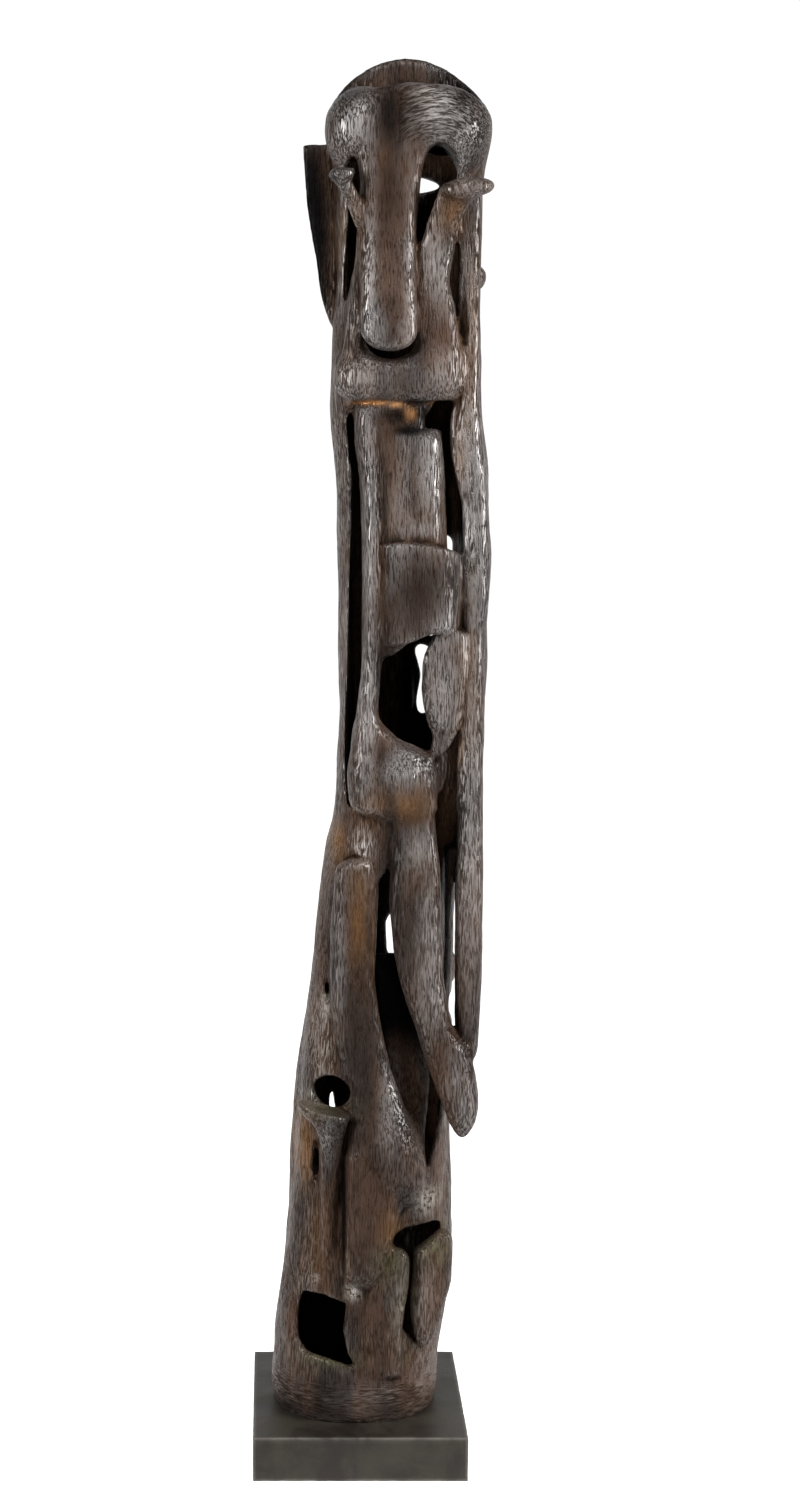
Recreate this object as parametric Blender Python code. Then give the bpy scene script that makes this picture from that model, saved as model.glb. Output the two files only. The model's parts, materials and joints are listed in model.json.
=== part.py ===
"""A standing bronze totem, one hollow casting on a square plinth, in metres with +Z up."""
import math

import bmesh
import bpy
import numpy as np

# Driving sizes, in metres
PLINTH_SIDE = 0.300
PLINTH_HEIGHT = 0.064
PLINTH_EDGE = 0.0015
SEAT_GAP = 0.0003
BODY_HEIGHT = 1.886
WALL = 0.013

# Mesh sizes, in metres
GRID_STEP = 0.0043
TOTEM_TRIANGLES = 9000

# The carving is laid out in units, each a hundredth of the casting's height.
# In it x runs right, y away from the face and z up, from the middle of the plinth's top.
UNIT = BODY_HEIGHT / 100
CLAY_LOW = (-8.0, -9.0, -0.9)
CLAY_HIGH = (11.0, 7.5, 101.0)
FRONT = -9.0
BACK = 9.0
SPARE = 0.4
FAR = 20.0


def clear_scene():
    for item in list(bpy.data.objects):
        bpy.data.objects.remove(item, do_unlink=True)


def between(z, rows, column):
    """A smooth curve through one column of the rows, whose first column is the height."""
    heights = np.array([row[0] for row in rows], float)
    values = np.array([row[column] for row in rows], float)
    steps = np.diff(heights)
    slopes = np.diff(values) / steps
    tangents = np.zeros_like(values)
    tangents[0], tangents[-1] = slopes[0], slopes[-1]
    before, after = slopes[:-1], slopes[1:]
    same = before * after > 0
    tangents[1:-1][same] = 2 * before[same] * after[same] / (before + after)[same]
    height = np.clip(z, heights[0], heights[-1])
    i = np.clip(np.searchsorted(heights, height) - 1, 0, len(steps) - 1)
    t = (height - heights[i]) / steps[i]
    near = (1 + 2 * t) * (1 - t) ** 2 * values[i] + t * (1 - t) ** 2 * steps[i] * tangents[i]
    far = t * t * (3 - 2 * t) * values[i + 1] + t * t * (t - 1) * steps[i] * tangents[i + 1]
    return (near + far).astype(np.float32)


def soft_min(a, b, blend):
    """The smaller of two distances, with the crease between them filled over the blend."""
    if blend <= 0:
        return np.minimum(a, b)
    overlap = np.maximum(blend - np.abs(a - b), 0) / blend
    return np.minimum(a, b) - overlap * overlap * blend / 4


def soft_max(a, b, blend):
    return -soft_min(-a, -b, blend)


def round_distance(a, b, half_a, half_b, square):
    """The distance to a rounded oblong; square is 2 for an ellipse and more for fuller corners."""
    radius = np.sqrt(a * a + b * b) + 1e-6
    share = (np.abs(a / half_a) ** square + np.abs(b / half_b) ** square) ** (1 / square) + 1e-6
    return radius - radius / share


def turned(a, b, angle):
    cosine, sine = math.cos(angle), math.sin(angle)
    return cosine * a + sine * b, -sine * a + cosine * b


class Loft:
    """An upright form. Each row is a height, then the left, right, front and rear there."""

    def __init__(self, rows, square=2.4, cap=0.4, thick=None, turn=0, top=None):
        self.rows, self.square, self.cap, self.thick = rows, square, cap, thick
        self.turn, self.top = math.radians(turn), top
        spare = 1.0 if turn else 0.0
        self.low = (min(r[1] for r in rows) - spare, min(r[3] for r in rows) - spare, rows[0][0])
        self.high = (max(r[2] for r in rows) + spare, max(r[4] for r in rows) + spare, rows[-1][0])

    def plan(self, x, y, z, shift=0.0):
        left, right, front, rear = (between(z, self.rows, column) for column in (1, 2, 3, 4))
        across, deep = turned(x - (left + right) / 2, y - shift - (front + rear) / 2, self.turn)
        half_width, half_depth = (right - left) / 2, (rear - front) / 2
        return round_distance(across, deep, half_width, half_depth, self.square)

    def distance(self, x, y, z):
        body = self.plan(x, y, z)
        if self.thick:
            body = np.maximum(body, -self.plan(x, y, z, self.thick))
        ends = np.maximum(self.rows[0][0] - z, z - self.rows[-1][0])
        if self.top:
            ends = np.maximum(ends, z - self.top(x, y))
        return soft_max(body, ends, self.cap)


class Window:
    """An opening seen from the front. Each row is a height, then the left and right there."""

    def __init__(self, rows, front=FRONT, rear=-1.5, cap=0.3):
        self.rows, self.front, self.rear, self.cap = rows, front, rear, cap
        self.low = (min(row[1] for row in rows), front, rows[0][0])
        self.high = (max(row[2] for row in rows), rear, rows[-1][0])

    def distance(self, x, y, z):
        sides = np.maximum(between(z, self.rows, 1) - x, x - between(z, self.rows, 2))
        ends = np.maximum(self.rows[0][0] - z, z - self.rows[-1][0])
        return np.maximum(soft_max(sides, ends, self.cap), np.maximum(self.front - y, y - self.rear))


class Hole:
    """A round or oblong opening seen from the front."""

    def __init__(self, x, z, half_x, half_z, front=FRONT, rear=-1.5, square=2.0, tilt=0):
        self.x, self.z, self.half_x, self.half_z = x, z, half_x, half_z
        self.front, self.rear, self.square, self.tilt = front, rear, square, math.radians(tilt)
        reach = max(half_x, half_z)
        self.low, self.high = (x - reach, front, z - reach), (x + reach, rear, z + reach)

    def distance(self, x, y, z):
        across, up = turned(x - self.x, z - self.z, self.tilt)
        edge = round_distance(across, up, self.half_x, self.half_z, self.square)
        return np.maximum(edge, np.maximum(self.front - y, y - self.rear))


class Ball:
    """An egg with three radii; tilt raises its right end."""

    def __init__(self, centre, radii, tilt=0):
        self.centre, self.radii, self.tilt = centre, radii, math.radians(tilt)
        reach = max(radii)
        self.low = tuple(value - reach for value in centre)
        self.high = tuple(value + reach for value in centre)

    def distance(self, x, y, z):
        across, up = turned(x - self.centre[0], z - self.centre[2], self.tilt)
        deep = y - self.centre[1]
        radius = np.sqrt(across * across + deep * deep + up * up) + 1e-6
        shares = [(value / size) ** 2 for value, size in zip((across, deep, up), self.radii)]
        return radius - radius / (np.sqrt(shares[0] + shares[1] + shares[2]) + 1e-6)


class Limb:
    """A round bar along points, each an x, y, z and radius."""

    def __init__(self, points):
        self.points = np.array(points, float)
        reach = self.points[:, 3].max()
        self.low = tuple(self.points[:, :3].min(0) - reach)
        self.high = tuple(self.points[:, :3].max(0) + reach)

    def distance(self, x, y, z):
        nearest = FAR
        for start, end in zip(self.points[:-1], self.points[1:]):
            run = end[:3] - start[:3]
            dx, dy, dz = x - start[0], y - start[1], z - start[2]
            share = np.clip((dx * run[0] + dy * run[1] + dz * run[2]) / (run @ run), 0, 1)
            gaps = (dx - share * run[0], dy - share * run[1], dz - share * run[2])
            gap = np.sqrt(gaps[0] ** 2 + gaps[1] ** 2 + gaps[2] ** 2)
            nearest = np.minimum(nearest, gap - start[3] - share * (end[3] - start[3]))
        return nearest


class Clay:
    """A block of clay on a grid, as the distance in units from its surface."""

    def __init__(self, step):
        self.step = step
        self.axes = [np.arange(low, high, step, dtype=np.float32) for low, high in zip(CLAY_LOW, CLAY_HIGH)]
        self.field = np.full([len(axis) for axis in self.axes], FAR, np.float32)

    def part(self, low, high, margin):
        part = []
        for axis, start, end in zip(self.axes, low, high):
            part.append(slice(np.searchsorted(axis, start - margin), np.searchsorted(axis, end + margin)))
        x, y, z = (axis[cut] for axis, cut in zip(self.axes, part))
        return tuple(part), x[:, None, None], y[None, :, None], z[None, None, :]

    def add(self, form, blend):
        part, x, y, z = self.part(form.low, form.high, blend + 2 * self.step)
        self.field[part] = soft_min(self.field[part], form.distance(x, y, z), blend)

    def cut(self, form, blend):
        part, x, y, z = self.part(form.low, form.high, blend + 2 * self.step)
        self.field[part] = soft_max(self.field[part], -form.distance(x, y, z), blend)


# The trunk's outline, from the seat to the rim
TRUNK = [
    (-0.8, -6.0, 5.6, -5.3, 5.3),
    (1.3, -6.5, 6.05, -5.6, 5.6),
    (3.8, -6.35, 6.1, -5.5, 5.5),
    (6.0, -6.3, 6.4, -5.4, 5.4),
    (8.0, -6.1, 6.8, -5.4, 5.4),
    (14.0, -5.4, 7.05, -5.4, 5.4),
    (24.4, -4.85, 6.95, -5.3, 5.3),
    (34.7, -3.5, 6.95, -5.2, 5.2),
    (38.0, -3.15, 7.05, -5.2, 5.1),
    (41.0, -2.75, 7.4, -5.2, 5.1),
    (43.0, -2.4, 7.8, -5.2, 5.1),
    (45.0, -2.0, 8.3, -5.2, 5.1),
    (48.0, -1.85, 8.85, -5.2, 5.2),
    (55.3, -1.65, 9.05, -5.2, 5.2),
    (64.6, -1.9, 9.3, -5.2, 5.3),
    (69.8, -1.94, 9.05, -5.2, 5.3),
    (76.0, -2.27, 8.5, -5.3, 5.3),
    (84.2, -2.0, 8.35, -5.4, 5.3),
    (90.4, -2.2, 8.5, -5.3, 5.3),
    (94.5, -2.6, 8.95, -5.5, 5.3),
    (96.5, -2.6, 8.85, -5.4, 5.2),
    (101.0, -2.0, 8.3, -4.6, 4.7),
]


# The long hollows in the bark of the sides and back, each an angle from the front in degrees,
# the heights where it starts and ends, and its depth
FLUTES = [
    (68, 12, 30, 0.30),
    (95, 22, 52, 0.35),
    (118, 50, 88, 0.40),
    (140, 6, 40, 0.35),
    (160, 62, 93, 0.35),
    (183, 30, 60, 0.45),
    (205, 66, 96, 0.35),
    (228, 4, 36, 0.40),
    (250, 40, 78, 0.35),
    (275, 8, 33, 0.30),
    (292, 50, 72, 0.25),
]
FLUTE_WIDTH = math.radians(11)
FLUTE_DRIFT = 7


def knots(x, y, z):
    """The slow swell of the bark."""
    broad = np.sin(0.31 * z + 1.3 * np.sin(0.11 * z) + 0.35 * x) * np.cos(0.45 * y + 0.23 * x + 0.6)
    fine = np.sin(0.83 * z + 0.7 * x + 1.9) * np.sin(0.9 * y - 0.5 * x + 0.4)
    return (0.10 * broad + 0.05 * fine).astype(np.float32)


def flutes(x, y, z):
    middle = (between(z, TRUNK, 1) + between(z, TRUNK, 2)) / 2
    angle = np.arctan2(x - middle, -y)
    dip = np.zeros_like(angle)
    for degrees, low, high, depth in FLUTES:
        share = np.clip((z - low) / (high - low), 0, 1)
        centre = np.radians(degrees + FLUTE_DRIFT * np.sin(5 * share + degrees))
        aside = (angle - centre + math.pi) % (2 * math.pi) - math.pi
        taper = 1 - (2 * share - 1) ** 2
        dip += depth * taper * np.exp(-(aside / FLUTE_WIDTH) ** 2)
    return dip.astype(np.float32)


def rim_height(x, y):
    return 98.75 + 0.30 * y - 2.9 * ((x - 3.2) / 5.7) ** 2


def trunk(clay):
    x, y, z = (axis.reshape(shape) for axis, shape in zip(clay.axes, ((-1, 1, 1), (1, -1, 1), (1, 1, -1))))
    skin = Loft(TRUNK, square=2.25).plan(x, y, z) + knots(x, y, z) + flutes(x, y, z)
    tube = np.maximum(skin, -(skin + WALL / UNIT))
    clay.field[:] = soft_max(tube, z - rim_height(x, y), 0.5)


def brow(clay):
    clay.add(Ball((-0.6, -3.3, 94.2), (2.2, 2.45, 2.7)), 1.4)
    clay.add(Ball((5.6, -3.2, 94.2), (2.9, 2.6, 2.5)), 1.4)


def eyes(clay):
    clay.cut(Window([
        (82.4, -1.45, -1.25),
        (84.0, -1.45, -0.95),
        (86.0, -1.3, -0.55),
        (88.7, -1.2, -0.5),
        (91.2, -1.5, -0.4),
        (92.3, -1.1, -0.7),
    ]), 0.25)
    clay.cut(Window([
        (86.2, 3.5, 3.8),
        (87.0, 3.45, 4.3),
        (88.5, 3.5, 5.2),
        (90.0, 3.65, 6.15),
        (91.5, 3.8, 6.25),
        (92.4, 4.1, 6.0),
        (93.1, 4.8, 5.4),
    ]), 0.35)
    clay.cut(Window([
        (80.8, 6.42, 6.55),
        (82.0, 6.1, 6.5),
        (83.5, 5.75, 6.5),
        (85.0, 6.0, 6.58),
        (86.8, 6.28, 6.4),
    ]), 0.15)


def mouth(clay):
    clay.add(Ball((0.2, -4.4, 77.1), (2.4, 1.4, 1.8)), 1.2)
    clay.add(Ball((5.1, -4.2, 77.8), (1.9, 1.7, 2.3)), 1.2)
    clay.add(Ball((2.8, -4.5, 76.9), (3.6, 1.2, 1.5)), 0.9)


def nose(clay):
    clay.add(Loft([
        (76.5, -1.7, 0.8, -5.0, -3.6),
        (79.0, -1.5, 0.7, -5.2, -3.7),
        (81.0, -1.3, 0.6, -5.4, -3.8),
        (84.0, -0.9, 0.5, -5.5, -4.0),
        (87.5, -0.5, 0.4, -5.6, -4.2),
    ], cap=0.8), 0.9)
    clay.cut(Hole(1.7, 79.7, 2.0, 1.35, rear=-4.9), 0.5)
    clay.cut(Hole(1.75, 79.8, 1.75, 1.3), 0.2)
    clay.add(Loft([
        (78.95, 0.9, 2.3, -6.7, -5.7),
        (79.3, 0.25, 3.05, -6.95, -5.4),
        (80.4, -0.4, 3.55, -7.1, -5.0),
        (82.0, -0.4, 3.5, -6.9, -4.7),
        (85.0, -0.45, 3.35, -6.5, -4.4),
        (88.0, -0.4, 3.4, -6.1, -4.2),
        (91.0, -0.45, 3.7, -5.9, -4.0),
        (93.5, -0.6, 4.2, -5.7, -4.0),
        (96.0, -0.5, 4.2, -5.3, -4.0),
    ], square=2.7, cap=0.9), 0.35)
    clay.cut(Limb([
        (1.6, -7.75, 80.2, 1.0),
        (1.65, -7.25, 85.0, 0.95),
        (1.7, -6.85, 90.0, 0.95),
        (1.65, -6.55, 97.0, 1.1),
    ]), 0.8)


def spoons(clay):
    """The two bone-like tongues that rise out of the eyes."""
    clay.add(Limb([
        (-0.3, -5.4, 87.8, 0.6),
        (-1.0, -5.9, 89.4, 0.52),
        (-1.7, -6.35, 90.6, 0.5),
    ]), 0.4)
    clay.add(Ball((-1.75, -6.5, 90.95), (0.92, 0.75, 0.52), tilt=10), 0.35)
    clay.cut(Ball((-1.5, -6.8, 91.6), (0.7, 0.6, 0.35), tilt=10), 0.2)
    clay.add(Loft([
        (77.0, 3.8, 6.7, -5.2, -3.9),
        (79.0, 3.6, 6.6, -5.6, -3.9),
        (82.0, 3.6, 6.2, -5.6, -4.2),
        (84.0, 3.5, 5.7, -5.7, -4.4),
        (86.0, 3.8, 6.0, -5.8, -4.7),
        (87.5, 4.1, 6.35, -6.0, -4.9),
        (89.0, 4.6, 7.1, -6.3, -5.2),
        (90.3, 5.1, 8.3, -6.7, -5.5),
    ], square=2.5, cap=0.5), 0.5)
    clay.add(Ball((6.95, -6.4, 90.0), (1.8, 1.0, 0.7), tilt=5), 0.6)


def ears(clay):
    clay.add(Loft([
        (81.0, -2.3, -1.4, 0.4, 1.4),
        (83.0, -3.0, -1.5, 0.5, 1.1),
        (86.0, -3.45, -1.5, 0.5, 1.1),
        (90.0, -4.1, -1.5, 0.5, 1.1),
        (93.6, -4.35, -1.6, 0.5, 1.1),
    ], square=4, cap=0.15), 0.3)
    clay.add(Ball((8.1, 3.2, 84.4), (0.95, 1.0, 1.0)), 0.3)


def chest_opening(clay):
    clay.cut(Window([
        (46.4, -1.0, 6.8),
        (50.0, -1.2, 6.9),
        (56.0, -1.05, 7.0),
        (65.0, -0.9, 7.1),
        (68.0, -0.85, 7.0),
        (70.0, -0.85, 6.6),
        (72.0, -1.05, 6.15),
        (74.0, -1.15, 6.05),
        (75.6, -0.8, 6.3),
    ], rear=-0.5), 0.25)


def right_column(clay):
    clay.add(Loft([
        (27.8, 7.25, 8.5, -4.9, -3.4),
        (31.0, 6.85, 8.75, -4.9, -2.4),
        (34.0, 6.75, 8.8, -4.9, -2.4),
        (40.0, 6.7, 8.85, -4.9, -2.4),
        (46.0, 6.9, 8.75, -4.7, -2.2),
        (58.0, 7.0, 8.8, -4.6, -1.8),
        (64.8, 7.15, 9.1, -4.6, -1.8),
        (68.0, 7.05, 8.9, -4.6, -1.8),
        (70.0, 6.7, 8.8, -4.7, -1.9),
        (73.0, 6.15, 8.4, -4.8, -2.0),
        (77.0, 6.75, 8.1, -4.7, -2.4),
        (81.0, 6.8, 8.1, -4.6, -2.4),
        (86.0, 6.6, 8.1, -4.4, -2.6),
        (90.0, 6.7, 8.1, -4.2, -2.6),
    ], cap=0.6), 0.4)


def chest_slab(clay):
    def top(x, y):
        share = np.clip((2.7 - x) / 1.9, 0, 1)
        corner = 0.5 * np.clip(x - 4.7, 0, 1) ** 2
        return 73.25 + 1.9 * share * share * (3 - 2 * share) + 0.35 * (y + 5.2) - corner

    clay.add(Loft([
        (57.5, 0.1, 6.2, -5.3, -0.5),
        (65.0, -0.05, 6.0, -5.3, -0.5),
        (70.0, -0.25, 5.78, -5.3, -0.6),
        (73.0, -0.65, 5.5, -5.3, -0.8),
        (77.0, -0.9, 5.2, -5.2, -0.8),
    ], square=2.8, thick=1.0, cap=0.35, top=top), 0.3)
    clay.add(Loft([
        (46.3, -0.7, 1.6, -5.5, -2.8),
        (48.5, -0.95, 1.3, -5.6, -2.6),
        (52.0, -0.6, 1.2, -5.5, -2.4),
        (57.0, -0.1, 1.4, -5.5, -2.4),
        (60.0, 0.0, 1.4, -5.6, -2.4),
        (66.0, -0.05, 1.3, -5.6, -2.6),
        (70.0, -0.2, 1.2, -5.5, -2.6),
        (73.0, -0.6, 1.2, -5.4, -2.8),
        (75.1, -0.5, 0.9, -5.2, -3.0),
    ], cap=0.7), 0.5)
    for centre, radii in (
        ((1.9, -4.5, 74.7), (1.6, 1.0, 1.4)),
        ((3.3, -4.3, 74.2), (0.95, 0.9, 1.2)),
        ((3.6, -4.7, 74.9), (0.5, 0.45, 0.5)),
        ((4.1, -4.0, 75.5), (0.7, 0.8, 0.9)),
    ):
        clay.add(Ball(centre, radii), 0.3)
    clay.add(Limb([(4.5, -4.75, 72.6, 0.7), (4.6, -4.65, 70.0, 0.7), (4.7, -4.6, 65.0, 0.7)]), 0.8)
    clay.cut(Limb([(2.0, -6.0, 74.0, 0.85), (2.0, -6.1, 66.0, 0.85), (2.0, -6.3, 60.0, 0.85)]), 0.7)


def belt(clay):
    """The plate that stands proud below the chest slab and sinks into it at the left."""
    clay.add(Loft([
        (58.4, 0.2, 7.05, -5.8, 0.0),
        (62.0, 0.2, 7.1, -5.8, 0.0),
        (66.2, 0.2, 7.0, -5.75, 0.0),
    ], square=2.8, thick=1.1, cap=0.2, turn=-7, top=lambda x, y: 65.65 - 0.05 * (x - 3.0) ** 2), 0.15)


def waist(clay):
    clay.cut(Window([
        (50.0, 3.3, 5.2),
        (51.0, 2.1, 5.4),
        (52.5, 1.6, 5.8),
        (54.0, 1.4, 6.0),
        (56.0, 1.5, 6.2),
        (57.3, 2.1, 6.2),
        (58.3, 3.0, 6.2),
        (59.1, 4.6, 6.2),
    ], rear=-0.5), 0.9)
    clay.add(Loft([
        (50.4, 4.95, 5.7, -4.8, -4.1),
        (51.2, 4.7, 6.3, -4.9, -4.1),
        (53.0, 4.45, 7.0, -5.0, -4.0),
        (55.0, 4.2, 7.2, -5.0, -4.0),
        (57.0, 4.25, 7.4, -5.0, -4.0),
        (58.5, 4.7, 7.4, -5.0, -4.0),
        (59.3, 5.2, 7.2, -5.0, -4.2),
    ], square=3, cap=0.25), 0.25)


def hip_opening(clay):
    clay.cut(Window([
        (19.3, 4.4, 5.0),
        (21.0, 4.0, 5.4),
        (24.0, 3.2, 5.9),
        (28.0, 1.9, 6.3),
        (34.0, 0.9, 6.4),
        (41.0, 1.15, 6.4),
        (42.3, 1.8, 6.4),
        (46.6, 2.5, 6.6),
    ], rear=-0.5), 0.3)
    clay.cut(Window([
        (29.6, 6.0, 6.8),
        (32.0, 6.0, 6.78),
        (41.0, 6.0, 6.75),
        (44.0, 6.0, 6.9),
        (46.6, 6.0, 6.9),
    ], rear=-2.3, cap=0.8), 0.3)
    clay.add(Loft([
        (19.0, 3.3, 4.6, -4.6, -3.5),
        (22.0, 3.0, 4.75, -4.5, -3.4),
        (26.0, 2.3, 5.1, -3.8, -2.8),
        (30.0, 1.5, 4.2, -2.8, -2.0),
        (35.0, 0.8, 3.0, -1.4, -0.7),
    ], square=3, cap=0.4), 0.4)
    clay.add(Loft([
        (29.8, 5.6, 6.3, -2.2, 0.4),
        (31.0, 5.4, 6.35, -2.4, 0.4),
        (33.0, 5.9, 6.5, -2.5, 0.4),
        (36.0, 6.1, 6.55, -2.5, 0.4),
        (39.0, 6.1, 6.75, -2.5, 0.4),
        (43.0, 6.1, 7.2, -2.8, 0.4),
    ], cap=0.3), 0.3)
    clay.add(Ball((6.4, 0.2, 33.7), (0.9, 1.2, 1.5)), 0.2)
    clay.cut(Window([
        (30.1, 6.75, 9.0),
        (30.8, 6.6, 9.0),
        (31.7, 6.62, 9.0),
        (32.2, 6.8, 9.0),
    ], front=-2.0, rear=BACK), 0.2)


def hip(clay):
    clay.add(Loft([
        (45.6, 0.8, 5.1, -5.5, -3.2),
        (47.0, -0.8, 5.3, -5.7, -3.0),
        (49.0, -0.95, 5.2, -5.6, -3.0),
        (50.4, -0.8, 4.6, -5.4, -3.0),
        (51.6, -0.7, 2.4, -5.3, -2.8),
        (53.0, -0.6, 1.4, -5.3, -2.6),
    ], square=2.6, cap=1.5), 0.6)
    clay.add(Ball((3.2, -4.3, 48.6), (1.9, 1.6, 2.1)), 1.2)
    clay.cut(Limb([(1.7, -5.9, 54.0, 0.8), (3.1, -5.6, 52.9, 0.9), (4.6, -5.4, 51.8, 0.9)]), 1.0)
    clay.cut(Ball((-0.2, -6.4, 44.3), (1.0, 0.75, 1.7), tilt=-10), 0.6)
    clay.add(Loft([
        (47.7, 5.5, 5.8, -4.2, -3.2),
        (49.3, 5.1, 6.1, -4.4, -3.2),
        (50.6, 4.9, 6.2, -4.3, -3.2),
    ], cap=0.3), 0.4)


def leg(clay):
    clay.add(Loft([
        (21.95, 7.15, 7.7, -5.3, -4.5),
        (23.2, 6.45, 8.4, -5.7, -3.9),
        (24.5, 5.95, 8.62, -5.9, -3.6),
        (26.0, 5.35, 8.5, -5.9, -3.4),
        (28.5, 4.5, 7.9, -5.8, -3.4),
        (30.0, 4.0, 6.9, -5.8, -3.5),
        (31.5, 3.5, 6.35, -5.8, -3.6),
        (34.5, 2.6, 5.95, -5.8, -3.7),
        (37.0, 2.2, 5.8, -5.8, -3.8),
        (40.0, 1.95, 5.7, -5.8, -3.8),
        (42.0, 2.0, 5.6, -5.7, -3.6),
        (45.0, 2.0, 5.3, -5.6, -3.4),
        (47.5, 2.2, 5.2, -5.5, -3.2),
    ], square=2.4, cap=0.5), 0.35)


def thigh(clay):
    """The long slab at the left that swells into a knee."""
    clay.add(Loft([
        (17.1, -0.9, 4.0, -5.9, -4.0),
        (18.3, -1.1, 4.5, -6.2, -4.0),
        (19.5, -1.1, 4.5, -6.3, -4.0),
        (21.0, -1.0, 4.1, -6.3, -4.0),
        (23.0, -0.9, 3.6, -6.2, -4.0),
        (25.0, -0.9, 2.95, -6.0, -3.9),
        (27.0, -1.3, 2.2, -5.8, -3.8),
        (29.0, -1.8, 1.7, -5.7, -3.6),
        (31.0, -2.1, 1.3, -5.6, -3.5),
        (34.0, -2.3, 0.95, -5.5, -3.4),
        (37.0, -2.3, 1.05, -5.5, -3.4),
        (40.0, -2.1, 1.12, -5.5, -3.4),
        (42.0, -1.9, 0.95, -5.45, -3.6),
        (42.85, -1.3, 0.5, -5.3, -4.0),
    ], square=2.5, cap=0.5), 0.2)
    clay.add(Ball((2.6, -4.95, 20.6), (1.9, 1.9, 3.7), tilt=14), 0.9)


def shin(clay):
    clay.add(Loft([
        (10.6, -0.6, 0.8, -5.9, -4.5),
        (12.0, -1.3, 1.6, -6.4, -4.3),
        (14.0, -1.3, 2.3, -6.5, -4.2),
        (16.0, -1.3, 2.8, -6.5, -4.2),
        (18.0, -1.2, 3.2, -6.4, -4.2),
        (21.0, -1.2, 2.2, -6.3, -4.2),
    ], square=3.2, cap=0.4), 0.2)
    clay.cut(Limb([
        (-1.8, -6.0, 11.0, 0.35),
        (-1.6, -6.0, 16.0, 0.5),
        (-1.5, -6.0, 21.5, 0.5),
        (-1.3, -6.0, 23.0, 0.35),
    ]), 0.35)


def left_holes(clay):
    clay.cut(Hole(-2.1, 25.35, 1.3, 1.15), 0.35)
    clay.cut(Window([
        (18.2, -3.35, -3.2),
        (19.5, -3.45, -3.05),
        (21.0, -3.4, -3.1),
        (21.6, -3.3, -3.15),
    ]), 0.15)
    clay.cut(Window([
        (32.3, -2.6, -2.35),
        (33.0, -2.62, -2.35),
        (33.9, -2.62, -2.5),
    ]), 0.1)
    clay.cut(Window([
        (4.5, -1.0, -0.5),
        (4.85, -2.4, -0.65),
        (5.2, -3.9, -0.85),
        (6.2, -4.5, -1.1),
        (7.3, -4.55, -1.3),
        (8.5, -4.45, -1.15),
        (9.2, -4.3, -1.1),
        (9.7, -4.1, -2.6),
    ], cap=0.1), 0.5)


def right_holes(clay):
    clay.cut(Window([
        (12.6, 3.5, 4.2),
        (13.2, 2.9, 5.2),
        (13.9, 2.4, 5.9),
        (14.6, 2.6, 6.0),
        (15.1, 3.2, 5.6),
    ]), 0.25)
    clay.cut(Window([
        (5.8, 4.2, 4.7),
        (6.6, 3.6, 4.4),
        (7.4, 3.1, 4.2),
        (9.0, 3.2, 4.1),
        (13.3, 3.4, 4.3),
    ]), 0.15)


def feet(clay):
    clay.add(Loft([
        (3.6, 0.6, 3.0, -5.5, -4.2),
        (7.0, 0.2, 3.15, -5.7, -4.3),
        (9.0, 0.4, 3.35, -5.9, -4.4),
        (11.0, 0.5, 3.6, -6.0, -4.5),
        (12.8, 1.0, 3.65, -5.9, -4.7),
        (13.7, 1.5, 3.1, -5.8, -4.9),
    ], square=3.0, cap=0.3, turn=-9), 0.3)
    clay.add(Loft([
        (5.7, 4.5, 5.1, -5.0, -3.9),
        (7.0, 3.95, 5.8, -5.2, -3.6),
        (9.0, 3.75, 6.3, -5.2, -3.4),
        (11.0, 3.9, 6.8, -5.2, -3.4),
        (13.0, 4.0, 6.9, -5.2, -3.4),
        (13.8, 4.9, 6.9, -5.1, -3.4),
        (14.7, 5.9, 6.7, -4.9, -3.6),
    ], square=2.6, cap=0.3), 0.2)


def funnel(clay):
    """The tongue below the left hole, which flares into a lip."""
    clay.add(Loft([
        (12.0, -2.7, -2.1, -5.0, -4.3),
        (15.0, -2.9, -1.8, -5.4, -4.3),
        (19.0, -2.9, -1.6, -5.7, -4.5),
        (21.5, -3.0, -1.4, -6.1, -4.8),
        (23.0, -3.4, -1.1, -6.6, -5.0),
        (24.2, -4.3, -0.8, -7.1, -5.0),
        (25.4, -4.9, -0.5, -7.4, -5.0),
    ], square=2.3, cap=0.12, top=lambda x, y: 24.5 - 0.3 * (x + 2.5) + 0.12 * (y + 5.9)), 0.3)
    clay.cut(Ball((-2.5, -6.0, 24.9), (1.4, 0.8, 0.5), tilt=-13), 0.2)


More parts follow.
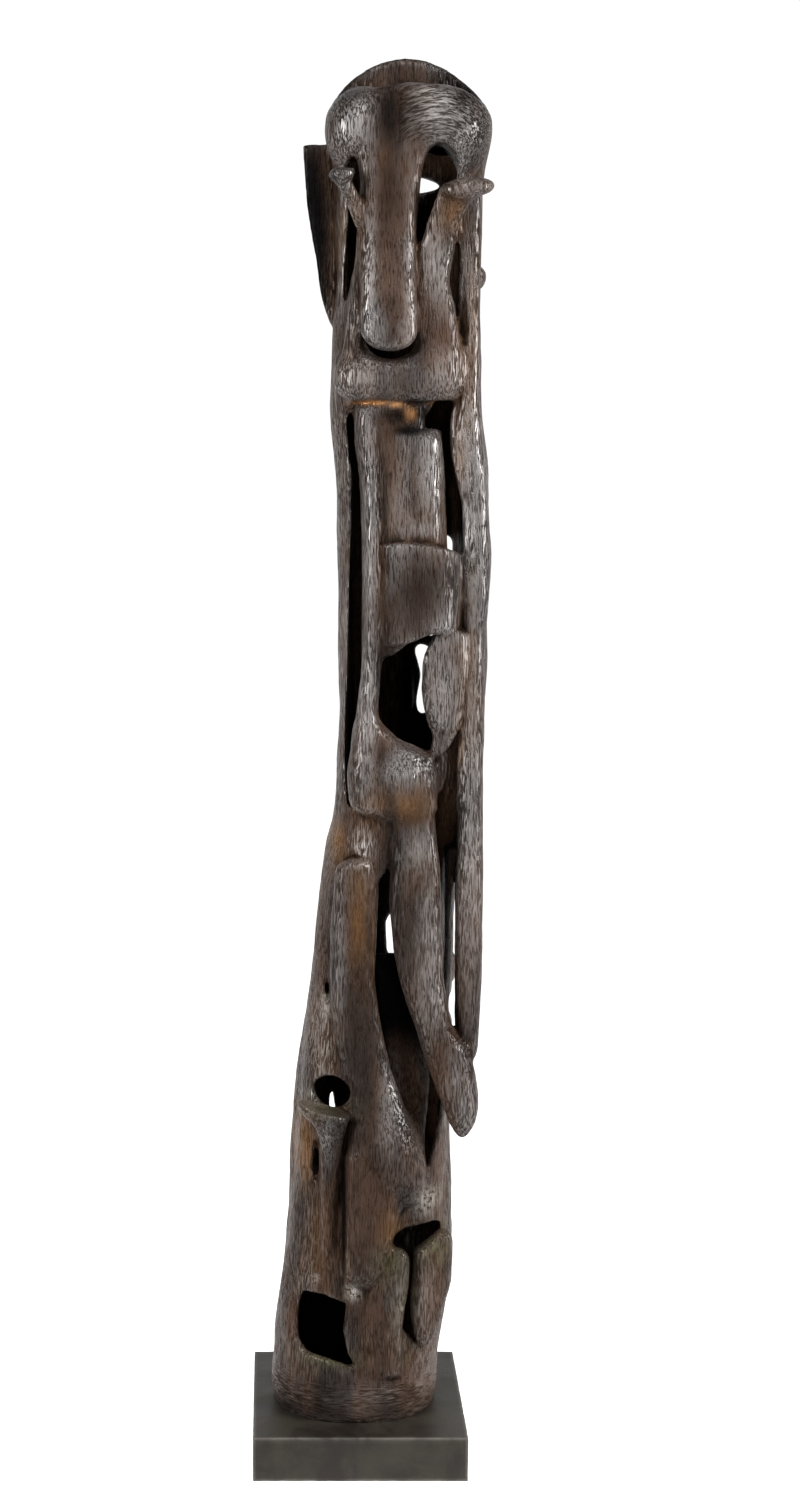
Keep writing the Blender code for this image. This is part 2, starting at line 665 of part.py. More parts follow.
def back_openings(clay):
    """The openings in the rear wall, which let light through the face."""
    clay.cut(Hole(3.3, 91.15, 2.5, 0.62, front=1, rear=BACK, square=1.6, tilt=-4), 0.25)
    clay.cut(Window([
        (58.0, 5.2, 5.6),
        (60.0, 4.8, 6.3),
        (63.0, 4.9, 6.9),
        (65.0, 5.3, 6.9),
        (65.6, 5.6, 6.7),
    ], front=1, rear=BACK), 0.15)
    clay.cut(Window([
        (52.2, 4.5, 5.2),
        (53.0, 4.35, 5.6),
        (54.0, 4.5, 5.9),
        (55.0, 4.68, 6.0),
        (56.0, 4.5, 6.0),
        (56.9, 4.25, 5.6),
        (57.4, 4.3, 5.0),
    ], front=1, rear=BACK), 0.15)
    clay.add(Ball((3.85, 4.4, 54.0), (0.3, 0.9, 2.2)), 0.2)
    clay.cut(Window([
        (33.0, 2.7, 4.2),
        (34.0, 2.25, 4.8),
        (36.0, 2.2, 5.3),
        (37.0, 2.7, 5.4),
        (39.0, 3.5, 5.3),
        (41.0, 4.1, 4.9),
    ], front=1, rear=BACK), 0.25)
    clay.cut(Window([
        (18.5, -1.8, -1.5),
        (20.0, -2.05, -1.45),
        (22.0, -2.15, -1.72),
        (23.0, -2.0, -1.85),
    ], front=1, rear=BACK), 0.1)


def carve(step):
    clay = Clay(step)
    trunk(clay)
    for form in (brow, eyes, mouth, nose, spoons, ears):
        form(clay)
    for form in (chest_opening, right_column, chest_slab, belt, waist):
        form(clay)
    for form in (hip_opening, hip, leg, thigh, shin):
        form(clay)
    for form in (left_holes, right_holes, feet, funnel, back_openings):
        form(clay)
    clay.field = np.maximum(clay.field, -SPARE - clay.axes[2][None, None, :])
    return clay


def surface(clay):
    """The vertices, in units, and the four-sided faces of the clay's surface."""
    field = clay.field
    inside = field < 0
    corners = [(i, j, k) for i in (0, 1) for j in (0, 1) for k in (0, 1)]
    cells = tuple(n - 1 for n in field.shape)
    count = np.zeros(cells, np.int8)
    for corner in corners:
        count += inside[tuple(slice(a, a + n) for a, n in zip(corner, cells))]
    mixed = (count > 0) & (count < 8)
    at = np.argwhere(mixed)
    number = np.full(cells, -1)
    number[mixed] = np.arange(len(at))
    total, hits = np.zeros((len(at), 3)), np.zeros((len(at), 1))
    for corner in corners:
        for axis in range(3):
            if corner[axis]:
                continue
            step = np.eye(3, dtype=int)[axis]
            start, end = field[tuple((at + corner).T)], field[tuple((at + corner + step).T)]
            crossed = (start < 0) != (end < 0)
            share = np.where(crossed, start / np.where(crossed, start - end, 1), 0)[:, None]
            total += np.where(crossed[:, None], corner + share * step, 0)
            hits += crossed[:, None]
    points = (at + total / hits) * clay.step + [axis[0] for axis in clay.axes]
    faces = []
    for axis in range(3):
        others = [other for other in range(3) if other != axis]
        near = tuple(slice(0, -1) if k == axis else slice(1, -1) for k in range(3))
        far = tuple(slice(1, None) if k == axis else slice(1, -1) for k in range(3))
        for outward in (True, False):
            edges = (inside[near] & ~inside[far]) if outward else (~inside[near] & inside[far])
            first = np.argwhere(edges)
            first[:, others] += 1
            ring = []
            for shift in ((1, 1), (0, 1), (0, 0), (1, 0)):
                cell = first.copy()
                cell[:, others] -= shift
                ring.append(number[tuple(cell.T)])
            quad = np.stack(ring, 1)
            faces.append(quad if outward == (axis != 1) else quad[:, ::-1])
    return points, np.concatenate(faces)


def metal(name, colour, roughness, metallic):
    material = bpy.data.materials.new(name)
    material.use_nodes = True
    shader = material.node_tree.nodes["Principled BSDF"]
    shader.inputs["Base Color"].default_value = (*colour, 1)
    shader.inputs["Roughness"].default_value = roughness
    shader.inputs["Metallic"].default_value = metallic
    return material


def place(name, mesh, location, material):
    item = bpy.data.objects.new(name, mesh)
    item.location = location
    mesh.materials.append(material)
    bpy.context.collection.objects.link(item)
    return item


def make_plinth():
    bm = bmesh.new()
    bmesh.ops.create_cube(bm, size=1)
    bmesh.ops.scale(bm, verts=bm.verts, vec=(PLINTH_SIDE, PLINTH_SIDE, PLINTH_HEIGHT))
    mesh = bpy.data.meshes.new("plinth")
    bm.to_mesh(mesh)
    bm.free()
    material = metal("dark plinth metal", (0.060, 0.055, 0.045), 0.5, 0.5)
    item = place("plinth", mesh, (0, 0, PLINTH_HEIGHT / 2), material)
    edge = item.modifiers.new("worn edge", "BEVEL")
    edge.width = PLINTH_EDGE
    edge.segments = 2


def make_totem():
    clay = carve(GRID_STEP / UNIT)
    points, faces = surface(clay)
    mesh = bpy.data.meshes.new("totem")
    mesh.from_pydata((points * UNIT).tolist(), [], faces.tolist())
    material = metal("brown bronze", (0.085, 0.055, 0.038), 0.45, 0.8)
    item = place("totem", mesh, (0, 0, PLINTH_HEIGHT + SEAT_GAP), material)
    skin = item.modifiers.new("one closed skin", "REMESH")
    skin.mode = "VOXEL"
    skin.voxel_size = GRID_STEP
    smooth = item.modifiers.new("smooth", "SMOOTH")
    smooth.iterations = 2
    facets = item.modifiers.new("facets", "DECIMATE")
    facets.ratio = TOTEM_TRIANGLES / (2 * len(faces))
    seat = item.modifiers.new("flat seat", "BOOLEAN")
    seat.operation = "DIFFERENCE"
    seat.object = seat_cutter()


def seat_cutter():
    """A block whose top is the level that the casting stands on."""
    bm = bmesh.new()
    bmesh.ops.create_cube(bm, size=2 * PLINTH_SIDE)
    mesh = bpy.data.meshes.new("seat cutter")
    bm.to_mesh(mesh)
    bm.free()
    item = bpy.data.objects.new("seat_cutter", mesh)
    item.location = (0, 0, PLINTH_HEIGHT + SEAT_GAP - PLINTH_SIDE)
    item.hide_render = True
    item.display_type = "WIRE"
    bpy.context.collection.objects.link(item)
    return item


clear_scene()
make_plinth()
make_totem()
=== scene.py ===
"""The looks of the bronze totem: the casting with its worked bark, the plinth, light and camera."""
import json
import math

import bmesh
import bpy
import numpy as np
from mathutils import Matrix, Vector

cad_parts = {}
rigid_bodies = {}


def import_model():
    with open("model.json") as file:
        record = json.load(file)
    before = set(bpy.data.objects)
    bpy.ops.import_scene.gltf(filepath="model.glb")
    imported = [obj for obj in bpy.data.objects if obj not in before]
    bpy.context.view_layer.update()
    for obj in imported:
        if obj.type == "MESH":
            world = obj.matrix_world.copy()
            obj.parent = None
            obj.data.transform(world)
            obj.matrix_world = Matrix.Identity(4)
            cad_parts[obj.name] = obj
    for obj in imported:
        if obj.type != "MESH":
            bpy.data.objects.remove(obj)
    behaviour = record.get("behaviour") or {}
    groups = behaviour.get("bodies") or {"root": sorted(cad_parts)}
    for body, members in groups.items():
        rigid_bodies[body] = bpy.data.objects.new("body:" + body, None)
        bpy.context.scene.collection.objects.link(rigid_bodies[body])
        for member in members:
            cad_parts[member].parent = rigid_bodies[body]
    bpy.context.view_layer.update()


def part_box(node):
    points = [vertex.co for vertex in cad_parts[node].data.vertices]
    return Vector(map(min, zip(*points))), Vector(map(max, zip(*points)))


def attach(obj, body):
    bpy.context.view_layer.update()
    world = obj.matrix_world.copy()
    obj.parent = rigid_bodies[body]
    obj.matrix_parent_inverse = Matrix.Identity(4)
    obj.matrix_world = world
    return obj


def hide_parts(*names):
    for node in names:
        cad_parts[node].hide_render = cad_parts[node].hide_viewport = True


# Driving sizes, in metres, as in the solids
BODY_HEIGHT = 1.886
WALL = 0.013

# The fineness of the casting seen here: the grid that it is carved on, in metres, and its triangles
GRID_STEP = 0.0026
TOTEM_FACES = 190000

# The carving is laid out in units, each a hundredth of the casting's height.
# In it x runs right, y away from the face and z up, from the middle of the plinth's top.
UNIT = BODY_HEIGHT / 100
# The block of clay reaches from low to high, and cuts start at the front or end at the back.
# The casting keeps a spare length below the seat, which is levelled afterwards.
CLAY_LOW = (-8.0, -9.0, -0.9)
CLAY_HIGH = (11.0, 7.5, 101.0)
FRONT = -9.0
BACK = 9.0
SPARE = 0.4
FAR = 20.0

# The photograph's camera, in metres and degrees; the image is 800 by 1505
PHOTO_WIDTH = 800
PHOTO_HEIGHT = 1505
CAMERA_PLACE = (-0.1205, -3.25, 1.51)
CAMERA_DROP = 8.83
FOCAL_PIXELS = 2364
CENTRE_COLUMN = 274
SENSOR = 36.0

# Colours of the metal, linear, with a grey that paints highlights, a gold that paints glints and a
# near black that paints shade
DARK_BROWN = (0.014, 0.0075, 0.005)
WARM_BROWN = (0.054, 0.027, 0.0150)
ORANGE_BROWN = (0.135, 0.060, 0.015)
HIGHLIGHT_GREY = (0.215, 0.196, 0.186)
GOLDEN_GLINT = (0.560, 0.270, 0.110)
GREEN_BROWN = (0.085, 0.078, 0.036)
PALE_SCUFF = (0.480, 0.450, 0.410)
SHADE_BLACK = (0.004, 0.0035, 0.0035)
PLINTH_DARK = (0.016, 0.012, 0.0095)
PLINTH_GREEN = (0.030, 0.026, 0.019)
PLINTH_WORN = (0.130, 0.120, 0.105)

# How fine the strokes are, on the bark and on the brow, in strokes per metre or so
BARK_STROKES = 540
BROW_STROKES = 500

# The strokes bend around this centre above the brow level, and lie level below the foot level
ARC_CENTRE = (4.9, 90.5)
BROW_LEVEL = 92.6
FOOT_LEVEL = 3.6

# Rounds of smoothing against which fine and broad bulges are measured
FINE_ROUNDS = 12
BROAD_ROUNDS = 90

# The plinth's bevel, the cells along its side, the depth and size of its dents, and the width
# of its worn edges
PLINTH_EDGE = 0.0015
PLINTH_CELLS = 60
PLINTH_DENT = 0.0004
DENT_SIZE = 0.011
EDGE_REACH = 0.006

# The floor, which glows except on the viewer's side, and the white room around it
FLOOR_SIZE = 14.0
FLOOR_COLOUR = (0.50, 0.50, 0.50)
FLOOR_DROP = 0.0005
FLOOR_GLOW = 1.0
FRONT_GREY = 0.05
BACKDROP_WHITE = 1.05

# Each soft light's name, place, target, width, height and power
SOFTBOXES = [
    ("left softbox", (-2.2, -1.5, 1.8), (0, 0, 1.1), 0.7, 2.0, 110),
    ("right softbox", (2.4, -1.0, 1.8), (0, 0, 1.1), 0.7, 2.0, 150),
    ("top softbox", (0.1, -2.1, 3.6), (0, 0, 1.3), 0.8, 0.5, 36),
]


def between(z, rows, column):
    """A smooth curve through one column of the rows, whose first column is the height."""
    heights = np.array([row[0] for row in rows], float)
    values = np.array([row[column] for row in rows], float)
    steps = np.diff(heights)
    slopes = np.diff(values) / steps
    tangents = np.zeros_like(values)
    tangents[0], tangents[-1] = slopes[0], slopes[-1]
    before, after = slopes[:-1], slopes[1:]
    same = before * after > 0
    tangents[1:-1][same] = 2 * before[same] * after[same] / (before + after)[same]
    height = np.clip(z, heights[0], heights[-1])
    i = np.clip(np.searchsorted(heights, height) - 1, 0, len(steps) - 1)
    t = (height - heights[i]) / steps[i]
    near = (1 + 2 * t) * (1 - t) ** 2 * values[i] + t * (1 - t) ** 2 * steps[i] * tangents[i]
    far = t * t * (3 - 2 * t) * values[i + 1] + t * t * (t - 1) * steps[i] * tangents[i + 1]
    return (near + far).astype(np.float32)


def soft_min(a, b, blend):
    """The smaller of two distances, with the crease between them filled over the blend."""
    if blend <= 0:
        return np.minimum(a, b)
    overlap = np.maximum(blend - np.abs(a - b), 0) / blend
    return np.minimum(a, b) - overlap * overlap * blend / 4


def soft_max(a, b, blend):
    """The larger of two distances, with the edge between them rounded over the blend."""
    return -soft_min(-a, -b, blend)


def round_distance(a, b, half_a, half_b, square):
    """The distance to a rounded oblong; square is 2 for an ellipse and more for fuller corners."""
    radius = np.sqrt(a * a + b * b) + 1e-6
    share = (np.abs(a / half_a) ** square + np.abs(b / half_b) ** square) ** (1 / square) + 1e-6
    return radius - radius / share


def turned(a, b, angle):
    """The two distances as seen from axes turned by the angle."""
    cosine, sine = math.cos(angle), math.sin(angle)
    return cosine * a + sine * b, -sine * a + cosine * b


class Loft:
    """An upright form. Each row is a height, then the left, right, front and rear there."""

    def __init__(self, rows, square=2.4, cap=0.4, thick=None, turn=0, top=None):
        self.rows, self.square, self.cap, self.thick = rows, square, cap, thick
        self.turn, self.top = math.radians(turn), top
        spare = 1.0 if turn else 0.0
        self.low = (min(r[1] for r in rows) - spare, min(r[3] for r in rows) - spare, rows[0][0])
        self.high = (max(r[2] for r in rows) + spare, max(r[4] for r in rows) + spare, rows[-1][0])

    def plan(self, x, y, z, shift=0.0):
        left, right, front, rear = (between(z, self.rows, column) for column in (1, 2, 3, 4))
        across, deep = turned(x - (left + right) / 2, y - shift - (front + rear) / 2, self.turn)
        half_width, half_depth = (right - left) / 2, (rear - front) / 2
        return round_distance(across, deep, half_width, half_depth, self.square)

    def distance(self, x, y, z):
        body = self.plan(x, y, z)
        if self.thick:
            body = np.maximum(body, -self.plan(x, y, z, self.thick))
        ends = np.maximum(self.rows[0][0] - z, z - self.rows[-1][0])
        if self.top:
            ends = np.maximum(ends, z - self.top(x, y))
        return soft_max(body, ends, self.cap)


class Window:
    """An opening seen from the front. Each row is a height, then the left and right there."""

    def __init__(self, rows, front=FRONT, rear=-1.5, cap=0.3):
        self.rows, self.front, self.rear, self.cap = rows, front, rear, cap
        self.low = (min(row[1] for row in rows), front, rows[0][0])
        self.high = (max(row[2] for row in rows), rear, rows[-1][0])

    def distance(self, x, y, z):
        sides = np.maximum(between(z, self.rows, 1) - x, x - between(z, self.rows, 2))
        ends = np.maximum(self.rows[0][0] - z, z - self.rows[-1][0])
        outline = soft_max(sides, ends, self.cap)
        return np.maximum(outline, np.maximum(self.front - y, y - self.rear))


class Hole:
    """A round or oblong opening seen from the front."""

    def __init__(self, x, z, half_x, half_z, front=FRONT, rear=-1.5, square=2.0, tilt=0):
        self.x, self.z, self.half_x, self.half_z = x, z, half_x, half_z
        self.front, self.rear, self.square, self.tilt = front, rear, square, math.radians(tilt)
        reach = max(half_x, half_z)
        self.low, self.high = (x - reach, front, z - reach), (x + reach, rear, z + reach)

    def distance(self, x, y, z):
        across, up = turned(x - self.x, z - self.z, self.tilt)
        edge = round_distance(across, up, self.half_x, self.half_z, self.square)
        return np.maximum(edge, np.maximum(self.front - y, y - self.rear))


class Ball:
    """An egg with three radii; tilt raises its right end."""

    def __init__(self, centre, radii, tilt=0):
        self.centre, self.radii, self.tilt = centre, radii, math.radians(tilt)
        reach = max(radii)
        self.low = tuple(value - reach for value in centre)
        self.high = tuple(value + reach for value in centre)

    def distance(self, x, y, z):
        across, up = turned(x - self.centre[0], z - self.centre[2], self.tilt)
        deep = y - self.centre[1]
        radius = np.sqrt(across * across + deep * deep + up * up) + 1e-6
        shares = [(value / size) ** 2 for value, size in zip((across, deep, up), self.radii)]
        return radius - radius / (np.sqrt(shares[0] + shares[1] + shares[2]) + 1e-6)


class Limb:
    """A round bar along points, each an x, y, z and radius."""

    def __init__(self, points):
        self.points = np.array(points, float)
        reach = self.points[:, 3].max()
        self.low = tuple(self.points[:, :3].min(0) - reach)
        self.high = tuple(self.points[:, :3].max(0) + reach)

    def distance(self, x, y, z):
        nearest = FAR
        for start, end in zip(self.points[:-1], self.points[1:]):
            run = end[:3] - start[:3]
            dx, dy, dz = x - start[0], y - start[1], z - start[2]
            share = np.clip((dx * run[0] + dy * run[1] + dz * run[2]) / (run @ run), 0, 1)
            gaps = (dx - share * run[0], dy - share * run[1], dz - share * run[2])
            gap = np.sqrt(gaps[0] ** 2 + gaps[1] ** 2 + gaps[2] ** 2)
            nearest = np.minimum(nearest, gap - start[3] - share * (end[3] - start[3]))
        return nearest


def spread(x, y, z):
    """The three axes, shaped so that they span the block together."""
    return x[:, None, None], y[None, :, None], z[None, None, :]


class Clay:
    """A block of clay on a grid, as the distance in units from its surface."""

    def __init__(self, step):
        self.step = step
        reach = zip(CLAY_LOW, CLAY_HIGH)
        self.axes = [np.arange(low, high, step, dtype=np.float32) for low, high in reach]
        self.field = np.full([len(axis) for axis in self.axes], FAR, np.float32)

    def part(self, low, high, margin):
        part = []
        for axis, start, end in zip(self.axes, low, high):
            first, last = (np.searchsorted(axis, at) for at in (start - margin, end + margin))
            part.append(slice(first, last))
        return tuple(part), *spread(*(axis[cut] for axis, cut in zip(self.axes, part)))

    def add(self, form, blend):
        part, x, y, z = self.part(form.low, form.high, blend + 2 * self.step)
        self.field[part] = soft_min(self.field[part], form.distance(x, y, z), blend)

    def cut(self, form, blend):
        part, x, y, z = self.part(form.low, form.high, blend + 2 * self.step)
        self.field[part] = soft_max(self.field[part], -form.distance(x, y, z), blend)


# The trunk's outline, from the seat to the rim
TRUNK = [
    (-0.8, -6.0, 5.6, -5.3, 5.3),
    (1.3, -6.5, 6.05, -5.6, 5.6),
    (3.8, -6.35, 6.1, -5.5, 5.5),
    (6.0, -6.3, 6.4, -5.4, 5.4),
    (8.0, -6.1, 6.8, -5.4, 5.4),
    (14.0, -5.4, 7.05, -5.4, 5.4),
    (24.4, -4.85, 6.95, -5.3, 5.3),
    (34.7, -3.5, 6.95, -5.2, 5.2),
    (38.0, -3.15, 7.05, -5.2, 5.1),
    (41.0, -2.75, 7.4, -5.2, 5.1),
    (43.0, -2.4, 7.8, -5.2, 5.1),
    (45.0, -2.0, 8.3, -5.2, 5.1),
    (48.0, -1.85, 8.85, -5.2, 5.2),
    (55.3, -1.65, 9.05, -5.2, 5.2),
    (64.6, -1.9, 9.3, -5.2, 5.3),
    (69.8, -1.94, 9.05, -5.2, 5.3),
    (76.0, -2.27, 8.5, -5.3, 5.3),
    (84.2, -2.0, 8.35, -5.4, 5.3),
    (90.4, -2.2, 8.5, -5.3, 5.3),
    (94.5, -2.6, 8.95, -5.5, 5.3),
    (96.5, -2.6, 8.85, -5.4, 5.2),
    (101.0, -2.0, 8.3, -4.6, 4.7),
]


# The long hollows in the bark of the sides and back, each an angle from the front in degrees,
# the heights where it starts and ends, and its depth
FLUTES = [
    (68, 12, 30, 0.30),
    (95, 22, 52, 0.35),
    (118, 50, 88, 0.40),
    (140, 6, 40, 0.35),
    (160, 62, 93, 0.35),
    (183, 30, 60, 0.45),
    (205, 66, 96, 0.35),
    (228, 4, 36, 0.40),
    (250, 40, 78, 0.35),
    (275, 8, 33, 0.30),
    (292, 50, 72, 0.25),
]
FLUTE_WIDTH = math.radians(11)
FLUTE_DRIFT = 7


def knots(x, y, z):
    """The slow swell of the bark."""
    broad = np.sin(0.31 * z + 1.3 * np.sin(0.11 * z) + 0.35 * x) * np.cos(0.45 * y + 0.23 * x + 0.6)
    fine = np.sin(0.83 * z + 0.7 * x + 1.9) * np.sin(0.9 * y - 0.5 * x + 0.4)
    return (0.10 * broad + 0.05 * fine).astype(np.float32)


def flutes(x, y, z):
    """How deep the long hollows are."""
    middle = (between(z, TRUNK, 1) + between(z, TRUNK, 2)) / 2
    angle = np.arctan2(x - middle, -y)
    dip = np.zeros_like(angle)
    for degrees, low, high, depth in FLUTES:
        share = np.clip((z - low) / (high - low), 0, 1)
        centre = np.radians(degrees + FLUTE_DRIFT * np.sin(5 * share + degrees))
        aside = (angle - centre + math.pi) % (2 * math.pi) - math.pi
        taper = 1 - (2 * share - 1) ** 2
        dip += depth * taper * np.exp(-(aside / FLUTE_WIDTH) ** 2)
    return dip.astype(np.float32)


def rim_height(x, y):
    """The rim's crest rises towards the back and falls away to both sides."""
    return 98.75 + 0.30 * y - 2.9 * ((x - 3.2) / 5.7) ** 2


def trunk(clay):
    x, y, z = spread(*clay.axes)
    skin = Loft(TRUNK, square=2.25).plan(x, y, z) + knots(x, y, z) + flutes(x, y, z)
    tube = np.maximum(skin, -(skin + WALL / UNIT))
    clay.field[:] = soft_max(tube, z - rim_height(x, y), 0.5)


def brow(clay):
    clay.add(Ball((-0.6, -3.3, 94.2), (2.2, 2.45, 2.7)), 1.4)
    clay.add(Ball((5.6, -3.2, 94.2), (2.9, 2.6, 2.5)), 1.4)


def eyes(clay):
    clay.cut(Window([
        (82.4, -1.45, -1.25),
        (84.0, -1.45, -0.95),
        (86.0, -1.3, -0.55),
        (88.7, -1.2, -0.5),
        (91.2, -1.5, -0.4),
        (92.3, -1.1, -0.7),
    ]), 0.25)
    clay.cut(Window([
        (86.2, 3.5, 3.8),
        (87.0, 3.45, 4.3),
        (88.5, 3.5, 5.2),
        (90.0, 3.65, 6.15),
        (91.5, 3.8, 6.25),
        (92.4, 4.1, 6.0),
        (93.1, 4.8, 5.4),
    ]), 0.35)
    clay.cut(Window([
        (80.8, 6.42, 6.55),
        (82.0, 6.1, 6.5),
        (83.5, 5.75, 6.5),
        (85.0, 6.0, 6.58),
        (86.8, 6.28, 6.4),
    ]), 0.15)


def mouth(clay):
    clay.add(Ball((0.2, -4.4, 77.1), (2.4, 1.4, 1.8)), 1.2)
    clay.add(Ball((5.1, -4.2, 77.8), (1.9, 1.7, 2.3)), 1.2)
    clay.add(Ball((2.8, -4.5, 76.9), (3.6, 1.2, 1.5)), 0.9)


def nose(clay):
    clay.add(Loft([
        (76.5, -1.7, 0.8, -5.0, -3.6),
        (79.0, -1.5, 0.7, -5.2, -3.7),
        (81.0, -1.3, 0.6, -5.4, -3.8),
        (84.0, -0.9, 0.5, -5.5, -4.0),
        (87.5, -0.5, 0.4, -5.6, -4.2),
    ], cap=0.8), 0.9)
    clay.cut(Hole(1.7, 79.7, 2.0, 1.35, rear=-4.9), 0.5)
    clay.cut(Hole(1.75, 79.8, 1.75, 1.3), 0.2)
    clay.add(Loft([
        (78.95, 0.9, 2.3, -6.7, -5.7),
        (79.3, 0.25, 3.05, -6.95, -5.4),
        (80.4, -0.4, 3.55, -7.1, -5.0),
        (82.0, -0.4, 3.5, -6.9, -4.7),
        (85.0, -0.45, 3.35, -6.5, -4.4),
        (88.0, -0.4, 3.4, -6.1, -4.2),
        (91.0, -0.45, 3.7, -5.9, -4.0),
        (93.5, -0.6, 4.2, -5.7, -4.0),
        (96.0, -0.5, 4.2, -5.3, -4.0),
    ], square=2.7, cap=0.9), 0.35)
    clay.cut(Limb([
        (1.6, -7.75, 80.2, 1.0),
        (1.65, -7.25, 85.0, 0.95),
        (1.7, -6.85, 90.0, 0.95),
        (1.65, -6.55, 97.0, 1.1),
    ]), 0.8)


def spoons(clay):
    """The two bone-like tongues that rise out of the eyes."""
    clay.add(Limb([
        (-0.3, -5.4, 87.8, 0.6),
        (-1.0, -5.9, 89.4, 0.52),
        (-1.7, -6.35, 90.6, 0.5),
    ]), 0.4)
    clay.add(Ball((-1.75, -6.5, 90.95), (0.92, 0.75, 0.52), tilt=10), 0.35)
    clay.cut(Ball((-1.5, -6.8, 91.6), (0.7, 0.6, 0.35), tilt=10), 0.2)
    clay.add(Loft([
        (77.0, 3.8, 6.7, -5.2, -3.9),
        (79.0, 3.6, 6.6, -5.6, -3.9),
        (82.0, 3.6, 6.2, -5.6, -4.2),
        (84.0, 3.5, 5.7, -5.7, -4.4),
        (86.0, 3.8, 6.0, -5.8, -4.7),
        (87.5, 4.1, 6.35, -6.0, -4.9),
        (89.0, 4.6, 7.1, -6.3, -5.2),
        (90.3, 5.1, 8.3, -6.7, -5.5),
    ], square=2.5, cap=0.5), 0.5)
    clay.add(Ball((6.95, -6.4, 90.0), (1.8, 1.0, 0.7), tilt=5), 0.6)


def ears(clay):
    clay.add(Loft([
        (81.0, -2.3, -1.4, 0.4, 1.4),
        (83.0, -3.0, -1.5, 0.5, 1.1),
        (86.0, -3.45, -1.5, 0.5, 1.1),
        (90.0, -4.1, -1.5, 0.5, 1.1),
        (93.6, -4.35, -1.6, 0.5, 1.1),
    ], square=4, cap=0.15), 0.3)
    clay.add(Ball((8.1, 3.2, 84.4), (0.95, 1.0, 1.0)), 0.3)


def chest_opening(clay):
    clay.cut(Window([
        (46.4, -1.0, 6.8),
        (50.0, -1.2, 6.9),
        (56.0, -1.05, 7.0),
        (65.0, -0.9, 7.1),
        (68.0, -0.85, 7.0),
        (70.0, -0.85, 6.6),
        (72.0, -1.05, 6.15),
        (74.0, -1.15, 6.05),
        (75.6, -0.8, 6.3),
    ], rear=-0.5), 0.25)


def right_column(clay):
    clay.add(Loft([
        (27.8, 7.25, 8.5, -4.9, -3.4),
        (31.0, 6.85, 8.75, -4.9, -2.4),
        (34.0, 6.75, 8.8, -4.9, -2.4),
        (40.0, 6.7, 8.85, -4.9, -2.4),
        (46.0, 6.9, 8.75, -4.7, -2.2),
        (58.0, 7.0, 8.8, -4.6, -1.8),
        (64.8, 7.15, 9.1, -4.6, -1.8),
        (68.0, 7.05, 8.9, -4.6, -1.8),
        (70.0, 6.7, 8.8, -4.7, -1.9),
        (73.0, 6.15, 8.4, -4.8, -2.0),
        (77.0, 6.75, 8.1, -4.7, -2.4),
        (81.0, 6.8, 8.1, -4.6, -2.4),
        (86.0, 6.6, 8.1, -4.4, -2.6),
        (90.0, 6.7, 8.1, -4.2, -2.6),
    ], cap=0.6), 0.4)


def chest_slab(clay):
    def top(x, y):
        share = np.clip((2.7 - x) / 1.9, 0, 1)
        corner = 0.5 * np.clip(x - 4.7, 0, 1) ** 2
        return 73.25 + 1.9 * share * share * (3 - 2 * share) + 0.35 * (y + 5.2) - corner

    clay.add(Loft([
        (57.5, 0.1, 6.2, -5.3, -0.5),
        (65.0, -0.05, 6.0, -5.3, -0.5),
        (70.0, -0.25, 5.78, -5.3, -0.6),
        (73.0, -0.65, 5.5, -5.3, -0.8),
        (77.0, -0.9, 5.2, -5.2, -0.8),
    ], square=2.8, thick=1.0, cap=0.35, top=top), 0.3)
    clay.add(Loft([
        (46.3, -0.7, 1.6, -5.5, -2.8),
        (48.5, -0.95, 1.3, -5.6, -2.6),
        (52.0, -0.6, 1.2, -5.5, -2.4),
        (57.0, -0.1, 1.4, -5.5, -2.4),
        (60.0, 0.0, 1.4, -5.6, -2.4),
        (66.0, -0.05, 1.3, -5.6, -2.6),
        (70.0, -0.2, 1.2, -5.5, -2.6),
        (73.0, -0.6, 1.2, -5.4, -2.8),
        (75.1, -0.5, 0.9, -5.2, -3.0),
    ], cap=0.7), 0.5)
    for centre, radii in (
        ((1.9, -4.5, 74.7), (1.6, 1.0, 1.4)),
        ((3.3, -4.3, 74.2), (0.95, 0.9, 1.2)),
        ((3.6, -4.7, 74.9), (0.5, 0.45, 0.5)),
        ((4.1, -4.0, 75.5), (0.7, 0.8, 0.9)),
    ):
        clay.add(Ball(centre, radii), 0.3)
    clay.add(Limb([(4.5, -4.75, 72.6, 0.7), (4.6, -4.65, 70.0, 0.7), (4.7, -4.6, 65.0, 0.7)]), 0.8)
    clay.cut(Limb([(2.0, -6.0, 74.0, 0.85), (2.0, -6.1, 66.0, 0.85), (2.0, -6.3, 60.0, 0.85)]), 0.7)


def belt(clay):
    """The plate that stands proud below the chest slab and sinks into it at the left."""
    def top(x, y):
        return 65.65 - 0.05 * (x - 3.0) ** 2

    clay.add(Loft([
        (58.4, 0.2, 7.05, -5.8, 0.0),
        (62.0, 0.2, 7.1, -5.8, 0.0),
        (66.2, 0.2, 7.0, -5.75, 0.0),
    ], square=2.8, thick=1.1, cap=0.2, turn=-7, top=top), 0.15)


